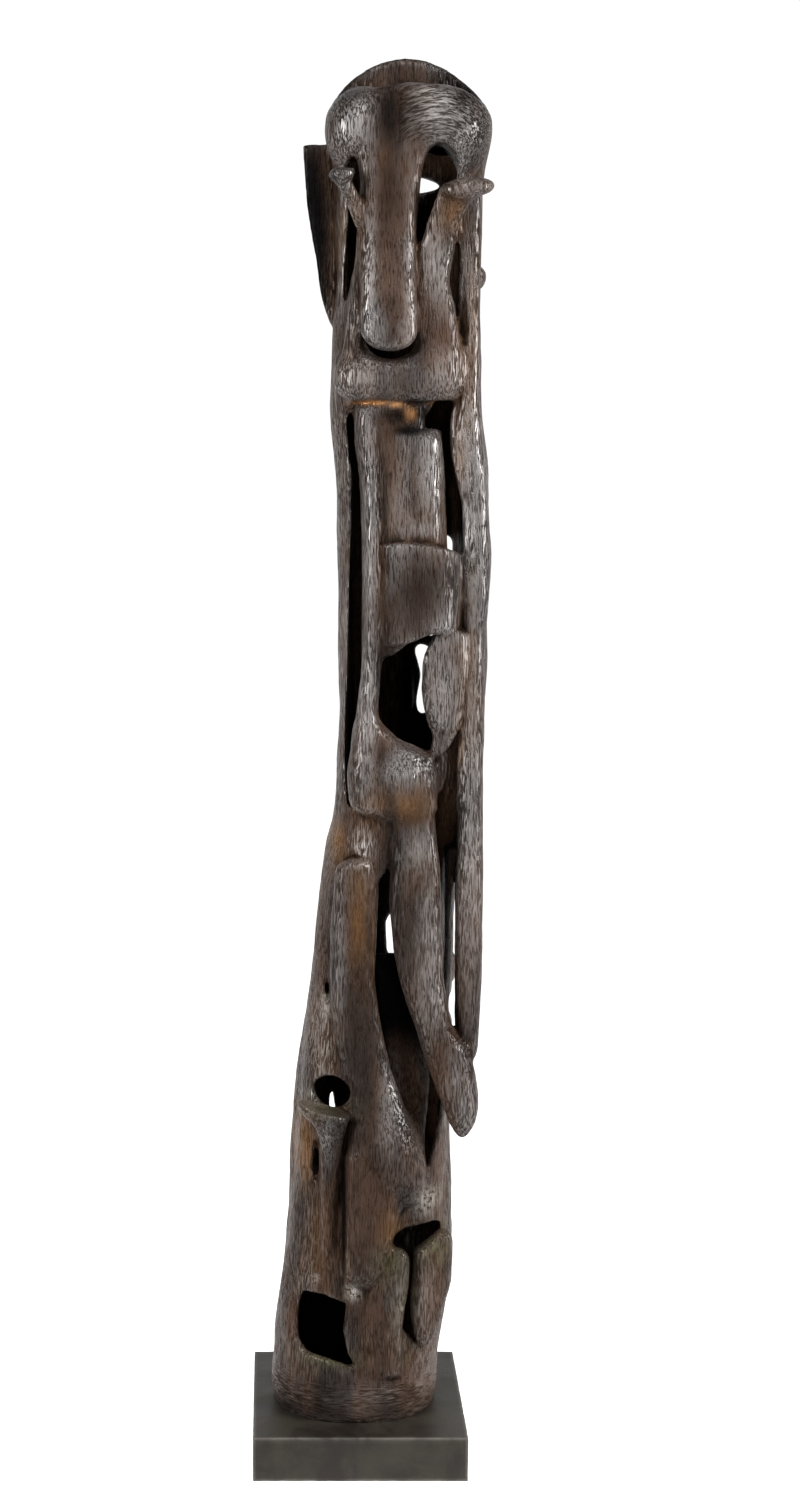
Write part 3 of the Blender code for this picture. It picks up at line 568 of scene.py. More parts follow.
def waist(clay):
    clay.cut(Window([
        (50.0, 3.3, 5.2),
        (51.0, 2.1, 5.4),
        (52.5, 1.6, 5.8),
        (54.0, 1.4, 6.0),
        (56.0, 1.5, 6.2),
        (57.3, 2.1, 6.2),
        (58.3, 3.0, 6.2),
        (59.1, 4.6, 6.2),
    ], rear=-0.5), 0.9)
    clay.add(Loft([
        (50.4, 4.95, 5.7, -4.8, -4.1),
        (51.2, 4.7, 6.3, -4.9, -4.1),
        (53.0, 4.45, 7.0, -5.0, -4.0),
        (55.0, 4.2, 7.2, -5.0, -4.0),
        (57.0, 4.25, 7.4, -5.0, -4.0),
        (58.5, 4.7, 7.4, -5.0, -4.0),
        (59.3, 5.2, 7.2, -5.0, -4.2),
    ], square=3, cap=0.25), 0.25)


def hip_opening(clay):
    clay.cut(Window([
        (19.3, 4.4, 5.0),
        (21.0, 4.0, 5.4),
        (24.0, 3.2, 5.9),
        (28.0, 1.9, 6.3),
        (34.0, 0.9, 6.4),
        (41.0, 1.15, 6.4),
        (42.3, 1.8, 6.4),
        (46.6, 2.5, 6.6),
    ], rear=-0.5), 0.3)
    clay.cut(Window([
        (29.6, 6.0, 6.8),
        (32.0, 6.0, 6.78),
        (41.0, 6.0, 6.75),
        (44.0, 6.0, 6.9),
        (46.6, 6.0, 6.9),
    ], rear=-2.3, cap=0.8), 0.3)
    clay.add(Loft([
        (19.0, 3.3, 4.6, -4.6, -3.5),
        (22.0, 3.0, 4.75, -4.5, -3.4),
        (26.0, 2.3, 5.1, -3.8, -2.8),
        (30.0, 1.5, 4.2, -2.8, -2.0),
        (35.0, 0.8, 3.0, -1.4, -0.7),
    ], square=3, cap=0.4), 0.4)
    clay.add(Loft([
        (29.8, 5.6, 6.3, -2.2, 0.4),
        (31.0, 5.4, 6.35, -2.4, 0.4),
        (33.0, 5.9, 6.5, -2.5, 0.4),
        (36.0, 6.1, 6.55, -2.5, 0.4),
        (39.0, 6.1, 6.75, -2.5, 0.4),
        (43.0, 6.1, 7.2, -2.8, 0.4),
    ], cap=0.3), 0.3)
    clay.add(Ball((6.4, 0.2, 33.7), (0.9, 1.2, 1.5)), 0.2)
    clay.cut(Window([
        (30.1, 6.75, 9.0),
        (30.8, 6.6, 9.0),
        (31.7, 6.62, 9.0),
        (32.2, 6.8, 9.0),
    ], front=-2.0, rear=BACK), 0.2)


def hip(clay):
    clay.add(Loft([
        (45.6, 0.8, 5.1, -5.5, -3.2),
        (47.0, -0.8, 5.3, -5.7, -3.0),
        (49.0, -0.95, 5.2, -5.6, -3.0),
        (50.4, -0.8, 4.6, -5.4, -3.0),
        (51.6, -0.7, 2.4, -5.3, -2.8),
        (53.0, -0.6, 1.4, -5.3, -2.6),
    ], square=2.6, cap=1.5), 0.6)
    clay.add(Ball((3.2, -4.3, 48.6), (1.9, 1.6, 2.1)), 1.2)
    clay.cut(Limb([(1.7, -5.9, 54.0, 0.8), (3.1, -5.6, 52.9, 0.9), (4.6, -5.4, 51.8, 0.9)]), 1.0)
    clay.cut(Ball((-0.2, -6.4, 44.3), (1.0, 0.75, 1.7), tilt=-10), 0.6)
    clay.add(Loft([
        (47.7, 5.5, 5.8, -4.2, -3.2),
        (49.3, 5.1, 6.1, -4.4, -3.2),
        (50.6, 4.9, 6.2, -4.3, -3.2),
    ], cap=0.3), 0.4)


def leg(clay):
    clay.add(Loft([
        (21.95, 7.15, 7.7, -5.3, -4.5),
        (23.2, 6.45, 8.4, -5.7, -3.9),
        (24.5, 5.95, 8.62, -5.9, -3.6),
        (26.0, 5.35, 8.5, -5.9, -3.4),
        (28.5, 4.5, 7.9, -5.8, -3.4),
        (30.0, 4.0, 6.9, -5.8, -3.5),
        (31.5, 3.5, 6.35, -5.8, -3.6),
        (34.5, 2.6, 5.95, -5.8, -3.7),
        (37.0, 2.2, 5.8, -5.8, -3.8),
        (40.0, 1.95, 5.7, -5.8, -3.8),
        (42.0, 2.0, 5.6, -5.7, -3.6),
        (45.0, 2.0, 5.3, -5.6, -3.4),
        (47.5, 2.2, 5.2, -5.5, -3.2),
    ], square=2.4, cap=0.5), 0.35)


def thigh(clay):
    """The long slab at the left that swells into a knee."""
    clay.add(Loft([
        (17.1, -0.9, 4.0, -5.9, -4.0),
        (18.3, -1.1, 4.5, -6.2, -4.0),
        (19.5, -1.1, 4.5, -6.3, -4.0),
        (21.0, -1.0, 4.1, -6.3, -4.0),
        (23.0, -0.9, 3.6, -6.2, -4.0),
        (25.0, -0.9, 2.95, -6.0, -3.9),
        (27.0, -1.3, 2.2, -5.8, -3.8),
        (29.0, -1.8, 1.7, -5.7, -3.6),
        (31.0, -2.1, 1.3, -5.6, -3.5),
        (34.0, -2.3, 0.95, -5.5, -3.4),
        (37.0, -2.3, 1.05, -5.5, -3.4),
        (40.0, -2.1, 1.12, -5.5, -3.4),
        (42.0, -1.9, 0.95, -5.45, -3.6),
        (42.85, -1.3, 0.5, -5.3, -4.0),
    ], square=2.5, cap=0.5), 0.2)
    clay.add(Ball((2.6, -4.95, 20.6), (1.9, 1.9, 3.7), tilt=14), 0.9)


def shin(clay):
    clay.add(Loft([
        (10.6, -0.6, 0.8, -5.9, -4.5),
        (12.0, -1.3, 1.6, -6.4, -4.3),
        (14.0, -1.3, 2.3, -6.5, -4.2),
        (16.0, -1.3, 2.8, -6.5, -4.2),
        (18.0, -1.2, 3.2, -6.4, -4.2),
        (21.0, -1.2, 2.2, -6.3, -4.2),
    ], square=3.2, cap=0.4), 0.2)
    clay.cut(Limb([
        (-1.8, -6.0, 11.0, 0.35),
        (-1.6, -6.0, 16.0, 0.5),
        (-1.5, -6.0, 21.5, 0.5),
        (-1.3, -6.0, 23.0, 0.35),
    ]), 0.35)


def left_holes(clay):
    clay.cut(Hole(-2.1, 25.35, 1.3, 1.15), 0.35)
    clay.cut(Window([
        (18.2, -3.35, -3.2),
        (19.5, -3.45, -3.05),
        (21.0, -3.4, -3.1),
        (21.6, -3.3, -3.15),
    ]), 0.15)
    clay.cut(Window([
        (32.3, -2.6, -2.35),
        (33.0, -2.62, -2.35),
        (33.9, -2.62, -2.5),
    ]), 0.1)
    clay.cut(Window([
        (4.5, -1.0, -0.5),
        (4.85, -2.4, -0.65),
        (5.2, -3.9, -0.85),
        (6.2, -4.5, -1.1),
        (7.3, -4.55, -1.3),
        (8.5, -4.45, -1.15),
        (9.2, -4.3, -1.1),
        (9.7, -4.1, -2.6),
    ], cap=0.1), 0.5)


def right_holes(clay):
    clay.cut(Window([
        (12.6, 3.5, 4.2),
        (13.2, 2.9, 5.2),
        (13.9, 2.4, 5.9),
        (14.6, 2.6, 6.0),
        (15.1, 3.2, 5.6),
    ]), 0.25)
    clay.cut(Window([
        (5.8, 4.2, 4.7),
        (6.6, 3.6, 4.4),
        (7.4, 3.1, 4.2),
        (9.0, 3.2, 4.1),
        (13.3, 3.4, 4.3),
    ]), 0.15)


def feet(clay):
    clay.add(Loft([
        (3.6, 0.6, 3.0, -5.5, -4.2),
        (7.0, 0.2, 3.15, -5.7, -4.3),
        (9.0, 0.4, 3.35, -5.9, -4.4),
        (11.0, 0.5, 3.6, -6.0, -4.5),
        (12.8, 1.0, 3.65, -5.9, -4.7),
        (13.7, 1.5, 3.1, -5.8, -4.9),
    ], square=3.0, cap=0.3, turn=-9), 0.3)
    clay.add(Loft([
        (5.7, 4.5, 5.1, -5.0, -3.9),
        (7.0, 3.95, 5.8, -5.2, -3.6),
        (9.0, 3.75, 6.3, -5.2, -3.4),
        (11.0, 3.9, 6.8, -5.2, -3.4),
        (13.0, 4.0, 6.9, -5.2, -3.4),
        (13.8, 4.9, 6.9, -5.1, -3.4),
        (14.7, 5.9, 6.7, -4.9, -3.6),
    ], square=2.6, cap=0.3), 0.2)


def funnel(clay):
    """The tongue below the left hole, which flares into a lip."""
    def top(x, y):
        return 24.5 - 0.3 * (x + 2.5) + 0.12 * (y + 5.9)

    clay.add(Loft([
        (12.0, -2.7, -2.1, -5.0, -4.3),
        (15.0, -2.9, -1.8, -5.4, -4.3),
        (19.0, -2.9, -1.6, -5.7, -4.5),
        (21.5, -3.0, -1.4, -6.1, -4.8),
        (23.0, -3.4, -1.1, -6.6, -5.0),
        (24.2, -4.3, -0.8, -7.1, -5.0),
        (25.4, -4.9, -0.5, -7.4, -5.0),
    ], square=2.3, cap=0.12, top=top), 0.3)
    clay.cut(Ball((-2.5, -6.0, 24.9), (1.4, 0.8, 0.5), tilt=-13), 0.2)


def back_openings(clay):
    """The openings in the rear wall, which let light through the face."""
    clay.cut(Hole(3.3, 91.15, 2.5, 0.62, front=1, rear=BACK, square=1.6, tilt=-4), 0.25)
    clay.cut(Window([
        (58.0, 5.2, 5.6),
        (60.0, 4.8, 6.3),
        (63.0, 4.9, 6.9),
        (65.0, 5.3, 6.9),
        (65.6, 5.6, 6.7),
    ], front=1, rear=BACK), 0.15)
    clay.cut(Window([
        (52.2, 4.5, 5.2),
        (53.0, 4.35, 5.6),
        (54.0, 4.5, 5.9),
        (55.0, 4.68, 6.0),
        (56.0, 4.5, 6.0),
        (56.9, 4.25, 5.6),
        (57.4, 4.3, 5.0),
    ], front=1, rear=BACK), 0.15)
    clay.add(Ball((3.85, 4.4, 54.0), (0.3, 0.9, 2.2)), 0.2)
    clay.cut(Window([
        (33.0, 2.7, 4.2),
        (34.0, 2.25, 4.8),
        (36.0, 2.2, 5.3),
        (37.0, 2.7, 5.4),
        (39.0, 3.5, 5.3),
        (41.0, 4.1, 4.9),
    ], front=1, rear=BACK), 0.25)
    clay.cut(Window([
        (18.5, -1.8, -1.5),
        (20.0, -2.05, -1.45),
        (22.0, -2.15, -1.72),
        (23.0, -2.0, -1.85),
    ], front=1, rear=BACK), 0.1)


def carve(step):
    """The whole casting as clay, on a grid of the step in units."""
    clay = Clay(step)
    for form in (
        trunk, brow, eyes, mouth, nose, spoons, ears, chest_opening, right_column, chest_slab,
        belt, waist, hip_opening, hip, leg, thigh, shin, left_holes, right_holes, feet, funnel,
        back_openings,
    ):
        form(clay)
    z = spread(*clay.axes)[2]
    clay.field = np.maximum(clay.field, -SPARE - z)
    return clay


def surface(clay):
    """The vertices, in units, and the four-sided faces of the clay's surface."""
    field = clay.field
    inside = field < 0
    corners = [(i, j, k) for i in (0, 1) for j in (0, 1) for k in (0, 1)]
    cells = tuple(n - 1 for n in field.shape)
    count = np.zeros(cells, np.int8)
    for corner in corners:
        count += inside[tuple(slice(a, a + n) for a, n in zip(corner, cells))]
    mixed = (count > 0) & (count < 8)
    at = np.argwhere(mixed)
    number = np.full(cells, -1)
    number[mixed] = np.arange(len(at))
    total, hits = np.zeros((len(at), 3)), np.zeros((len(at), 1))
    for corner in corners:
        for axis in range(3):
            if corner[axis]:
                continue
            step = np.eye(3, dtype=int)[axis]
            start, end = field[tuple((at + corner).T)], field[tuple((at + corner + step).T)]
            crossed = (start < 0) != (end < 0)
            share = np.where(crossed, start / np.where(crossed, start - end, 1), 0)[:, None]
            total += np.where(crossed[:, None], corner + share * step, 0)
            hits += crossed[:, None]
    points = (at + total / hits) * clay.step + [axis[0] for axis in clay.axes]
    faces = []
    for axis in range(3):
        others = [other for other in range(3) if other != axis]
        near = tuple(slice(0, -1) if k == axis else slice(1, -1) for k in range(3))
        far = tuple(slice(1, None) if k == axis else slice(1, -1) for k in range(3))
        for outward in (True, False):
            edges = (inside[near] & ~inside[far]) if outward else (~inside[near] & inside[far])
            first = np.argwhere(edges)
            first[:, others] += 1
            ring = []
            for shift in ((1, 1), (0, 1), (0, 0), (1, 0)):
                cell = first.copy()
                cell[:, others] -= shift
                ring.append(number[tuple(cell.T)])
            quad = np.stack(ring, 1)
            faces.append(quad if outward == (axis != 1) else quad[:, ::-1])
    return points, np.concatenate(faces)


# Patches of colour, each a place across, a height, a half width, a half height and a strength
RUST = [
    (3.3, 47.0, 1.6, 1.3, 0.85),
    (0.6, 47.0, 1.2, 1.1, 0.6),
    (-1.9, 43.8, 0.7, 1.4, 0.9),
    (-0.3, 38.5, 0.7, 4.5, 0.6),
    (-4.2, 20.5, 0.8, 3.0, 0.9),
    (-3.4, 14.0, 1.2, 4.0, 0.35),
    (-2.9, 28.5, 1.2, 3.5, 0.35),
    (4.7, 9.8, 0.9, 2.8, 0.35),
    (0.4, 37.0, 1.2, 4.0, 0.25),
    (3.8, 42.0, 0.9, 2.2, 0.4),
    (2.3, 15.4, 0.9, 1.4, 0.65),
    (-1.2, 87.0, 0.7, 2.5, 0.7),
    (5.6, 88.3, 1.2, 1.6, 0.6),
    (1.2, 92.0, 0.4, 3.5, 0.25),
    (7.3, 79.0, 0.6, 6.0, 0.5),
    (7.6, 55.0, 0.7, 6.0, 0.35),
    (6.7, 71.5, 0.5, 2.0, 0.7),
    (7.5, 62.5, 0.5, 2.5, 0.6),
    (6.9, 51.0, 0.5, 1.6, 0.9),
    (-1.0, 12.0, 0.3, 2.5, 0.5),
    (1.0, 98.0, 2.5, 1.2, 0.5),
]
# Patches of painted highlight, where the lights catch the brow, nose, ridges and lumps
HIGHLIGHT_PATCHES = [
    (-0.9, 94.6, 1.5, 2.2, 0.7),
    (5.3, 95.2, 1.9, 1.7, 0.85),
    (6.5, 92.5, 0.6, 2.0, 0.6),
    (0.2, 83.5, 0.45, 6.5, 0.7),
    (0.3, 80.6, 0.9, 1.3, 0.8),
    (3.0, 84.0, 0.4, 5.0, 0.5),
    (-1.5, 86.0, 0.5, 6.0, 0.5),
    (5.3, 77.4, 1.1, 1.0, 0.3),
    (-0.6, 77.2, 1.6, 0.9, 0.4),
    (7.1, 78.0, 0.5, 9.0, 0.5),
    (0.3, 66.0, 0.5, 9.0, 0.7),
    (4.6, 70.5, 1.0, 3.0, 0.8),
    (4.0, 66.6, 1.5, 0.6, 0.8),
    (7.6, 66.0, 1.3, 10.0, 0.9),
    (5.7, 55.2, 1.1, 3.5, 0.9),
    (5.8, 59.4, 1.0, 2.2, 0.8),
    (2.3, 67.5, 1.2, 5.5, 0.5),
    (4.8, 84.6, 0.9, 2.6, 0.75),
    (5.2, 36.5, 0.8, 3.0, 0.6),
    (5.3, 33.0, 0.8, 2.5, 0.8),
    (6.9, 26.8, 0.8, 2.2, 0.5),
    (-2.9, 28.5, 1.0, 3.5, 0.6),
    (4.7, 9.8, 0.8, 2.8, 0.5),
    (2.8, 9.5, 0.9, 3.0, 0.3),
    (1.0, 2.5, 3.0, 1.2, 0.2),
    (0.2, 54.0, 0.7, 6.0, 1.0),
    (2.8, 49.6, 1.2, 1.2, 1.0),
    (3.9, 43.5, 1.1, 1.6, 0.9),
    (0.0, 43.8, 1.0, 1.3, 0.8),
    (-2.1, 60.0, 0.9, 16.0, 0.7),
    (7.7, 46.0, 0.8, 13.0, 0.85),
    (4.6, 36.0, 0.7, 6.0, 0.7),
    (7.6, 24.5, 0.7, 2.2, 0.7),
    (-1.6, 36.0, 0.5, 5.0, 0.5),
    (2.0, 24.5, 0.8, 3.0, 0.7),
    (-2.5, 22.5, 0.5, 2.0, 0.6),
    (-2.6, 24.9, 1.9, 0.4, 0.8),
    (-3.9, 12.0, 0.7, 6.0, 0.25),
    (4.8, 4.0, 0.8, 3.0, 0.4),
]
# Bare bronze under the jaw, painted bright as golden glints of light in the dark hollow there
GOLD_GLINTS = [
    (0.4, 75.45, 1.1, 0.14, 0.9),
    (3.2, 74.7, 0.35, 0.45, 1.0),
    (2.2, 75.3, 0.5, 0.18, 0.6),
    (5.2, 75.4, 0.6, 0.14, 0.5),
]
GREEN = [
    (-2.5, 24.7, 2.0, 0.7, 0.5),
    (-2.4, 4.9, 2.2, 0.5, 0.9),
    (2.3, 12.6, 1.4, 1.6, 0.55),
    (3.3, 9.5, 0.8, 4.0, 0.45),
    (5.3, 13.6, 1.4, 1.2, 0.75),
]
SCUFFS = [
    (-0.55, 10.3, 0.42, 0.55, 1.0),
    (-3.3, 11.0, 0.25, 0.25, 0.6),
    (-2.7, 31.5, 0.4, 0.8, 0.4),
    (5.0, 16.9, 0.8, 0.9, 0.5),
]
# Patches of painted shade in slots, grooves and hollows, under the jaw, beside the openings and on
# the belt's face, where the lights reach less
SHADE_PATCHES = [
    (-3.9, 86.5, 1.4, 9.5, 1.4),
    (1.5, 95.2, 1.25, 3.7, 0.95),
    (1.4, 90.0, 0.9, 5.0, 0.7),
    (2.6, 77.0, 1.3, 1.4, 0.5),
    (-1.25, 16.8, 0.16, 6.0, 1.4),
    (6.3, 46.0, 0.35, 5.0, 0.8),
    (1.6, 97.8, 3.5, 0.7, 0.6),
    (3.0, 74.6, 2.4, 0.8, 1.0),
    (1.4, 68.0, 0.4, 6.0, 0.6),
    (4.1, 62.3, 3.2, 3.0, 0.7),
    (1.6, 57.0, 0.9, 2.6, 0.9),
    (1.2, 60.5, 0.7, 3.0, 0.5),
    (1.0, 71.0, 0.3, 4.0, 0.5),
    (3.0, 73.5, 1.5, 0.5, 1.0),
    (1.0, 57.5, 0.6, 2.5, 0.5),
    (1.9, 41.0, 0.5, 4.0, 0.6),
    (0.6, 15.0, 1.6, 5.0, 0.3),
]
# Painted shade on the inside of the crown
CROWN_SHADE = [
    (-1.5, 98.5, 2.0, 3.0, 0.8),
    (3.0, 100.5, 5.0, 1.0, 0.5),
    (7.5, 98.0, 1.8, 3.0, 0.8),
]


def clear_scene():
    for item in list(bpy.data.objects):
        bpy.data.objects.remove(item, do_unlink=True)


class Noise:
    """Smooth seeded noise between -1 and 1 on a repeating lattice."""

    def __init__(self, seed, size=32):
        self.size = size
        chance = np.random.RandomState(seed)
        self.values = chance.uniform(-1, 1, (size, size, size)).astype(np.float32)

    def __call__(self, x, y, z):
        cells, shares = [], []
        for value in (x, y, z):
            cell = np.floor(value)
            share = value - cell
            cells.append(cell.astype(int) % self.size)
            shares.append(share * share * (3 - 2 * share))
        total = 0
        for steps in np.ndindex(2, 2, 2):
            weight = 1
            for step, share in zip(steps, shares):
                weight = weight * (share if step else 1 - share)
            at = tuple((cell + step) % self.size for cell, step in zip(cells, steps))
            total = total + weight * self.values[at]
        return total


# Layers of relief, in units: knocks, dents, grain and fibre. Each is a seed, the width and
# height of its marks, how far they stand out, and whether they are ridges.
RELIEF = [
    (3, 1.1, 1.9, 0.045, False),
    (5, 0.45, 0.8, 0.022, False),
    (7, 0.22, 2.6, 0.022, True),
    (11, 0.16, 1.3, -0.02, True),
]


def relief(points):
    """How far hammering and bark grain push the skin out, in units."""
    x, y, z = points.T
    total = 0
    for seed, width, height, depth, ridged in RELIEF:
        marks = Noise(seed)(x / width, y / width, z / height)
        total = total + depth * (np.abs(marks) if ridged else marks)
    return total


def smoothed(mesh, places, rounds):
    """The places after so many rounds of averaging each with its neighbours."""
    ends = np.zeros(len(mesh.edges) * 2, np.int32)
    mesh.edges.foreach_get("vertices", ends)
    a, b = ends.reshape(-1, 2).T
    count = len(places)
    near = np.bincount(a, minlength=count) + np.bincount(b, minlength=count)
    for _ in range(rounds):
        total = [
            np.bincount(a, column[b], count) + np.bincount(b, column[a], count)
            for column in places.T
        ]
        places = 0.5 * places + 0.5 * np.stack(total, 1) / near[:, None]
    return places


def bulges(mesh, rounds):
    """How far each vertex stands proud of its surroundings, in units."""
    places = vertices(mesh) / UNIT
    return ((places - smoothed(mesh, places, rounds)) * normals(mesh)).sum(1)


def patches(points, rows, rear=0.5):
    """How strongly each point on the front is within any of the patches."""
    x, y, z = points.T
    strongest = np.zeros(len(points))
    for across, height, half_width, half_height, strength in rows:
        away = ((x - across) / half_width) ** 2 + ((z - height) / half_height) ** 2
        strongest = np.maximum(strongest, strength * np.exp(-away))
    return np.where(y < rear, strongest, 0)


def keep(mesh, name, values):
    layer = mesh.attributes.new(name, "FLOAT", "POINT")
    layer.data.foreach_set("value", np.asarray(values, np.float32))


def keep_vectors(mesh, name, values):
    layer = mesh.attributes.new(name, "FLOAT_VECTOR", "POINT")
    layer.data.foreach_set("vector", np.asarray(values, np.float32).ravel())


def vectors(items, name):
    values = np.zeros(len(items) * 3, np.float32)
    items.foreach_get(name, values)
    return values.reshape(-1, 3)


def vertices(mesh):
    return vectors(mesh.vertices, "co")


def normals(mesh):
    return vectors(mesh.vertex_normals, "vector")


def move(mesh, places):
    mesh.vertices.foreach_set("co", places.astype(np.float32).ravel())
    mesh.update()


def applied(item):
    """The object's mesh with its modifiers applied."""
    graph = bpy.context.evaluated_depsgraph_get()
    mesh = bpy.data.meshes.new_from_object(item.evaluated_get(graph))
    item.modifiers.clear()
    item.data = mesh
    return mesh


def shown(name, mesh, material):
    item = bpy.data.objects.new(name, mesh)
    mesh.materials.clear()
    mesh.materials.append(material)
    bpy.context.collection.objects.link(item)
    return item


def piece(name, mesh, material, node):
    """A seen piece that stands for a node of the solids."""
    item = shown(name, mesh, material)
    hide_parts(node)
    return item


def ramp(tree, source, low, high, start, end):
    """A smooth change from start to end while the source goes from low to high."""
    node = tree.nodes.new("ShaderNodeMapRange")
    node.interpolation_type = "SMOOTHSTEP"
    names = ("From Min", "From Max", "To Min", "To Max")
    for name, value in zip(names, (low, high, start, end)):
        node.inputs[name].default_value = value
    tree.links.new(source, node.inputs["Value"])
    return node.outputs["Result"]


def ramp_away(tree, place, low, high, start, end):
    """A ramp away from the viewer's side, along y of the place."""
    split = tree.nodes.new("ShaderNodeSeparateXYZ")
    texture = tree.nodes.new("ShaderNodeTexCoord")
    tree.links.new(texture.outputs[place], split.inputs[0])
    return ramp(tree, split.outputs["Y"], low, high, start, end)


class Nodes:
    """A material and short names for the nodes that make it up."""

    def __init__(self, name):
        self.material = bpy.data.materials.new(name)
        self.material.use_nodes = True
        self.tree = self.material.node_tree
        self.shader = self.tree.nodes["Principled BSDF"]
        self.place = self.add("ShaderNodeTexCoord").outputs["Object"]

    def add(self, kind, **values):
        node = self.tree.nodes.new(kind)
        for key, value in values.items():
            setattr(node, key, value)
        return node

    def link(self, source, target):
        self.tree.links.new(source, target)

    def attribute(self, name, output="Fac"):
        return self.add("ShaderNodeAttribute", attribute_name=name).outputs[output]

    def stretched(self, source, scale):
        node = self.add("ShaderNodeMapping")
        node.inputs["Scale"].default_value = scale
        self.link(source, node.inputs["Vector"])
        return node.outputs["Vector"]

    def noise(self, source, scale, detail=3.0, roughness=0.55, distortion=0.0):
        node = self.add("ShaderNodeTexNoise")
        self.link(source, node.inputs["Vector"])
        node.inputs["Scale"].default_value = scale
        node.inputs["Detail"].default_value = detail
        node.inputs["Roughness"].default_value = roughness
        node.inputs["Distortion"].default_value = distortion
        return node.outputs["Fac"]

    def band(self, source, low, high, start=0.0, end=1.0):
        return ramp(self.tree, source, low, high, start, end)

    def maths(self, operation, a, b, clamp=False):
        node = self.add("ShaderNodeMath", operation=operation, use_clamp=clamp)
        for socket, value in zip(node.inputs, (a, b)):
            if isinstance(value, (int, float)):
                socket.default_value = value
            else:
                self.link(value, socket)
        return node.outputs[0]

    def blend(self, share, a, b):
        node = self.add("ShaderNodeMix", data_type="FLOAT")
        for socket, value in zip(node.inputs, (share, None, a, b)):
            if value:
                self.link(value, socket)
        return node.outputs[0]

    def mix(self, share, a, b):
        node = self.add("ShaderNodeMix", data_type="RGBA")
        self.link(share, node.inputs[0])
        for socket, value in ((node.inputs[6], a), (node.inputs[7], b)):
            if isinstance(value, tuple):
                socket.default_value = (*value, 1)
            else:
                self.link(value, socket)
        return node.outputs[2]

    def bump(self, height, distance, strength, below=None):
        node = self.add("ShaderNodeBump")
        node.inputs["Distance"].default_value = distance
        node.inputs["Strength"].default_value = strength
        self.link(height, node.inputs["Height"])
        if below:
            self.link(below, node.inputs["Normal"])
        return node.outputs["Normal"]


def bronze():
    n = Nodes("brown_bronze")
    upright = n.stretched(n.place, (1.0, 1.0, 0.10))
    streaky = n.stretched(n.place, (1.0, 1.0, 0.25))
    level = n.stretched(n.place, (0.12, 0.12, 1.0))
    arcs = n.attribute("arcs", "Vector")
    blotch = n.noise(streaky, 16, 5, 0.6, 0.3)
    speck = n.noise(n.place, 170, 4, 0.65)
    fibre = n.noise(upright, BARK_STROKES, 3, 0.6, 0.5)
    cross = n.noise(level, BARK_STROKES, 3, 0.6, 0.5)
    bow = n.noise(arcs, BROW_STROKES, 3, 0.6, 0.3)
    worked = n.band(n.noise(n.place, 11, 2, 0.5), 0.35, 0.6, 0.35, 1.0)
    worked = n.maths("MULTIPLY", worked, n.attribute("carved"))
    stroke = n.blend(n.attribute("foot"), n.blend(n.attribute("brow"), fibre, bow), cross)
    groove = n.band(stroke, 0.36, 0.54)
    # The strokes' crests are painted light as glints
    crest = n.maths("MULTIPLY", worked, n.band(stroke, 0.58, 0.68))
    depth = n.maths("MULTIPLY", groove, worked)

    colour = n.mix(n.band(blotch, 0.36, 0.66), DARK_BROWN, WARM_BROWN)
    # Rust, and a painted orange glow of bounced light in hollows
    rust_and_bounce = n.maths("MULTIPLY", n.attribute("rust_and_bounce"), n.band(blotch, 0.25, 0.52))
    colour = n.mix(rust_and_bounce, colour, ORANGE_BROWN)
    # Painted highlight: a grey sheen where the lights catch the form, and glints along the crests
    highlight_mask = n.maths("MULTIPLY", n.attribute("painted_highlight"), n.band(blotch, 0.25, 0.5, 0.5, 1.0))
    painted_highlight = n.maths("MULTIPLY", highlight_mask, n.band(stroke, 0.45, 0.64, 0.10, 0.95))
    painted_highlight = n.maths("ADD", painted_highlight, n.maths("MULTIPLY", crest, 0.24))
    colour = n.mix(painted_highlight, colour, HIGHLIGHT_GREY)
    # Painted shade in hollows, creases and slots
    colour = n.mix(n.attribute("painted_shade"), colour, SHADE_BLACK)
    green = n.maths("MULTIPLY", n.attribute("green"), n.band(speck, 0.3, 0.6))
    colour = n.mix(green, colour, GREEN_BROWN)
    scuff = n.maths("MULTIPLY", n.attribute("scuff"), n.band(speck, 0.38, 0.52))
    colour = n.mix(scuff, colour, PALE_SCUFF)
    # Bare bronze painted bright as golden glints under the jaw
    gold_glint = n.maths("MULTIPLY", n.attribute("gold_glint"), n.band(blotch, 0.30, 0.55))
    colour = n.mix(gold_glint, colour, GOLDEN_GLINT)
    # Painted shade in the strokes' grooves
    groove_shade = n.maths("MULTIPLY", worked, n.band(groove, 0.0, 0.9, 0.5, 0.0))
    colour = n.mix(groove_shade, colour, SHADE_BLACK)
    n.link(colour, n.shader.inputs["Base Color"])

    rough = n.band(blotch, 0.3, 0.7, 0.34, 0.46)
    rough = n.maths("ADD", rough, n.band(groove, 0.0, 1.0, 0.25, 0.0))
    n.link(rough, n.shader.inputs["Roughness"])
    n.link(n.maths("ADD", 0.2, n.maths("MULTIPLY", gold_glint, 0.6)), n.shader.inputs["Metallic"])
    gloss = n.maths("ADD", 0.26, n.maths("MULTIPLY", highlight_mask, 1.1))
    gloss = n.maths("MULTIPLY", gloss, n.band(n.attribute("painted_shade"), 0.0, 1.0, 1.0, 0.1))
    gloss = n.maths("MULTIPLY", gloss, n.band(groove, 0.0, 1.0, 0.25, 1.0))
    n.link(gloss, n.shader.inputs["Specular IOR Level"])
    low = n.bump(blotch, 0.005, 0.35)
    middle = n.bump(speck, 0.0008, 0.5, low)
    n.link(n.bump(depth, 0.0030, 1.0, middle), n.shader.inputs["Normal"])
    return n.material


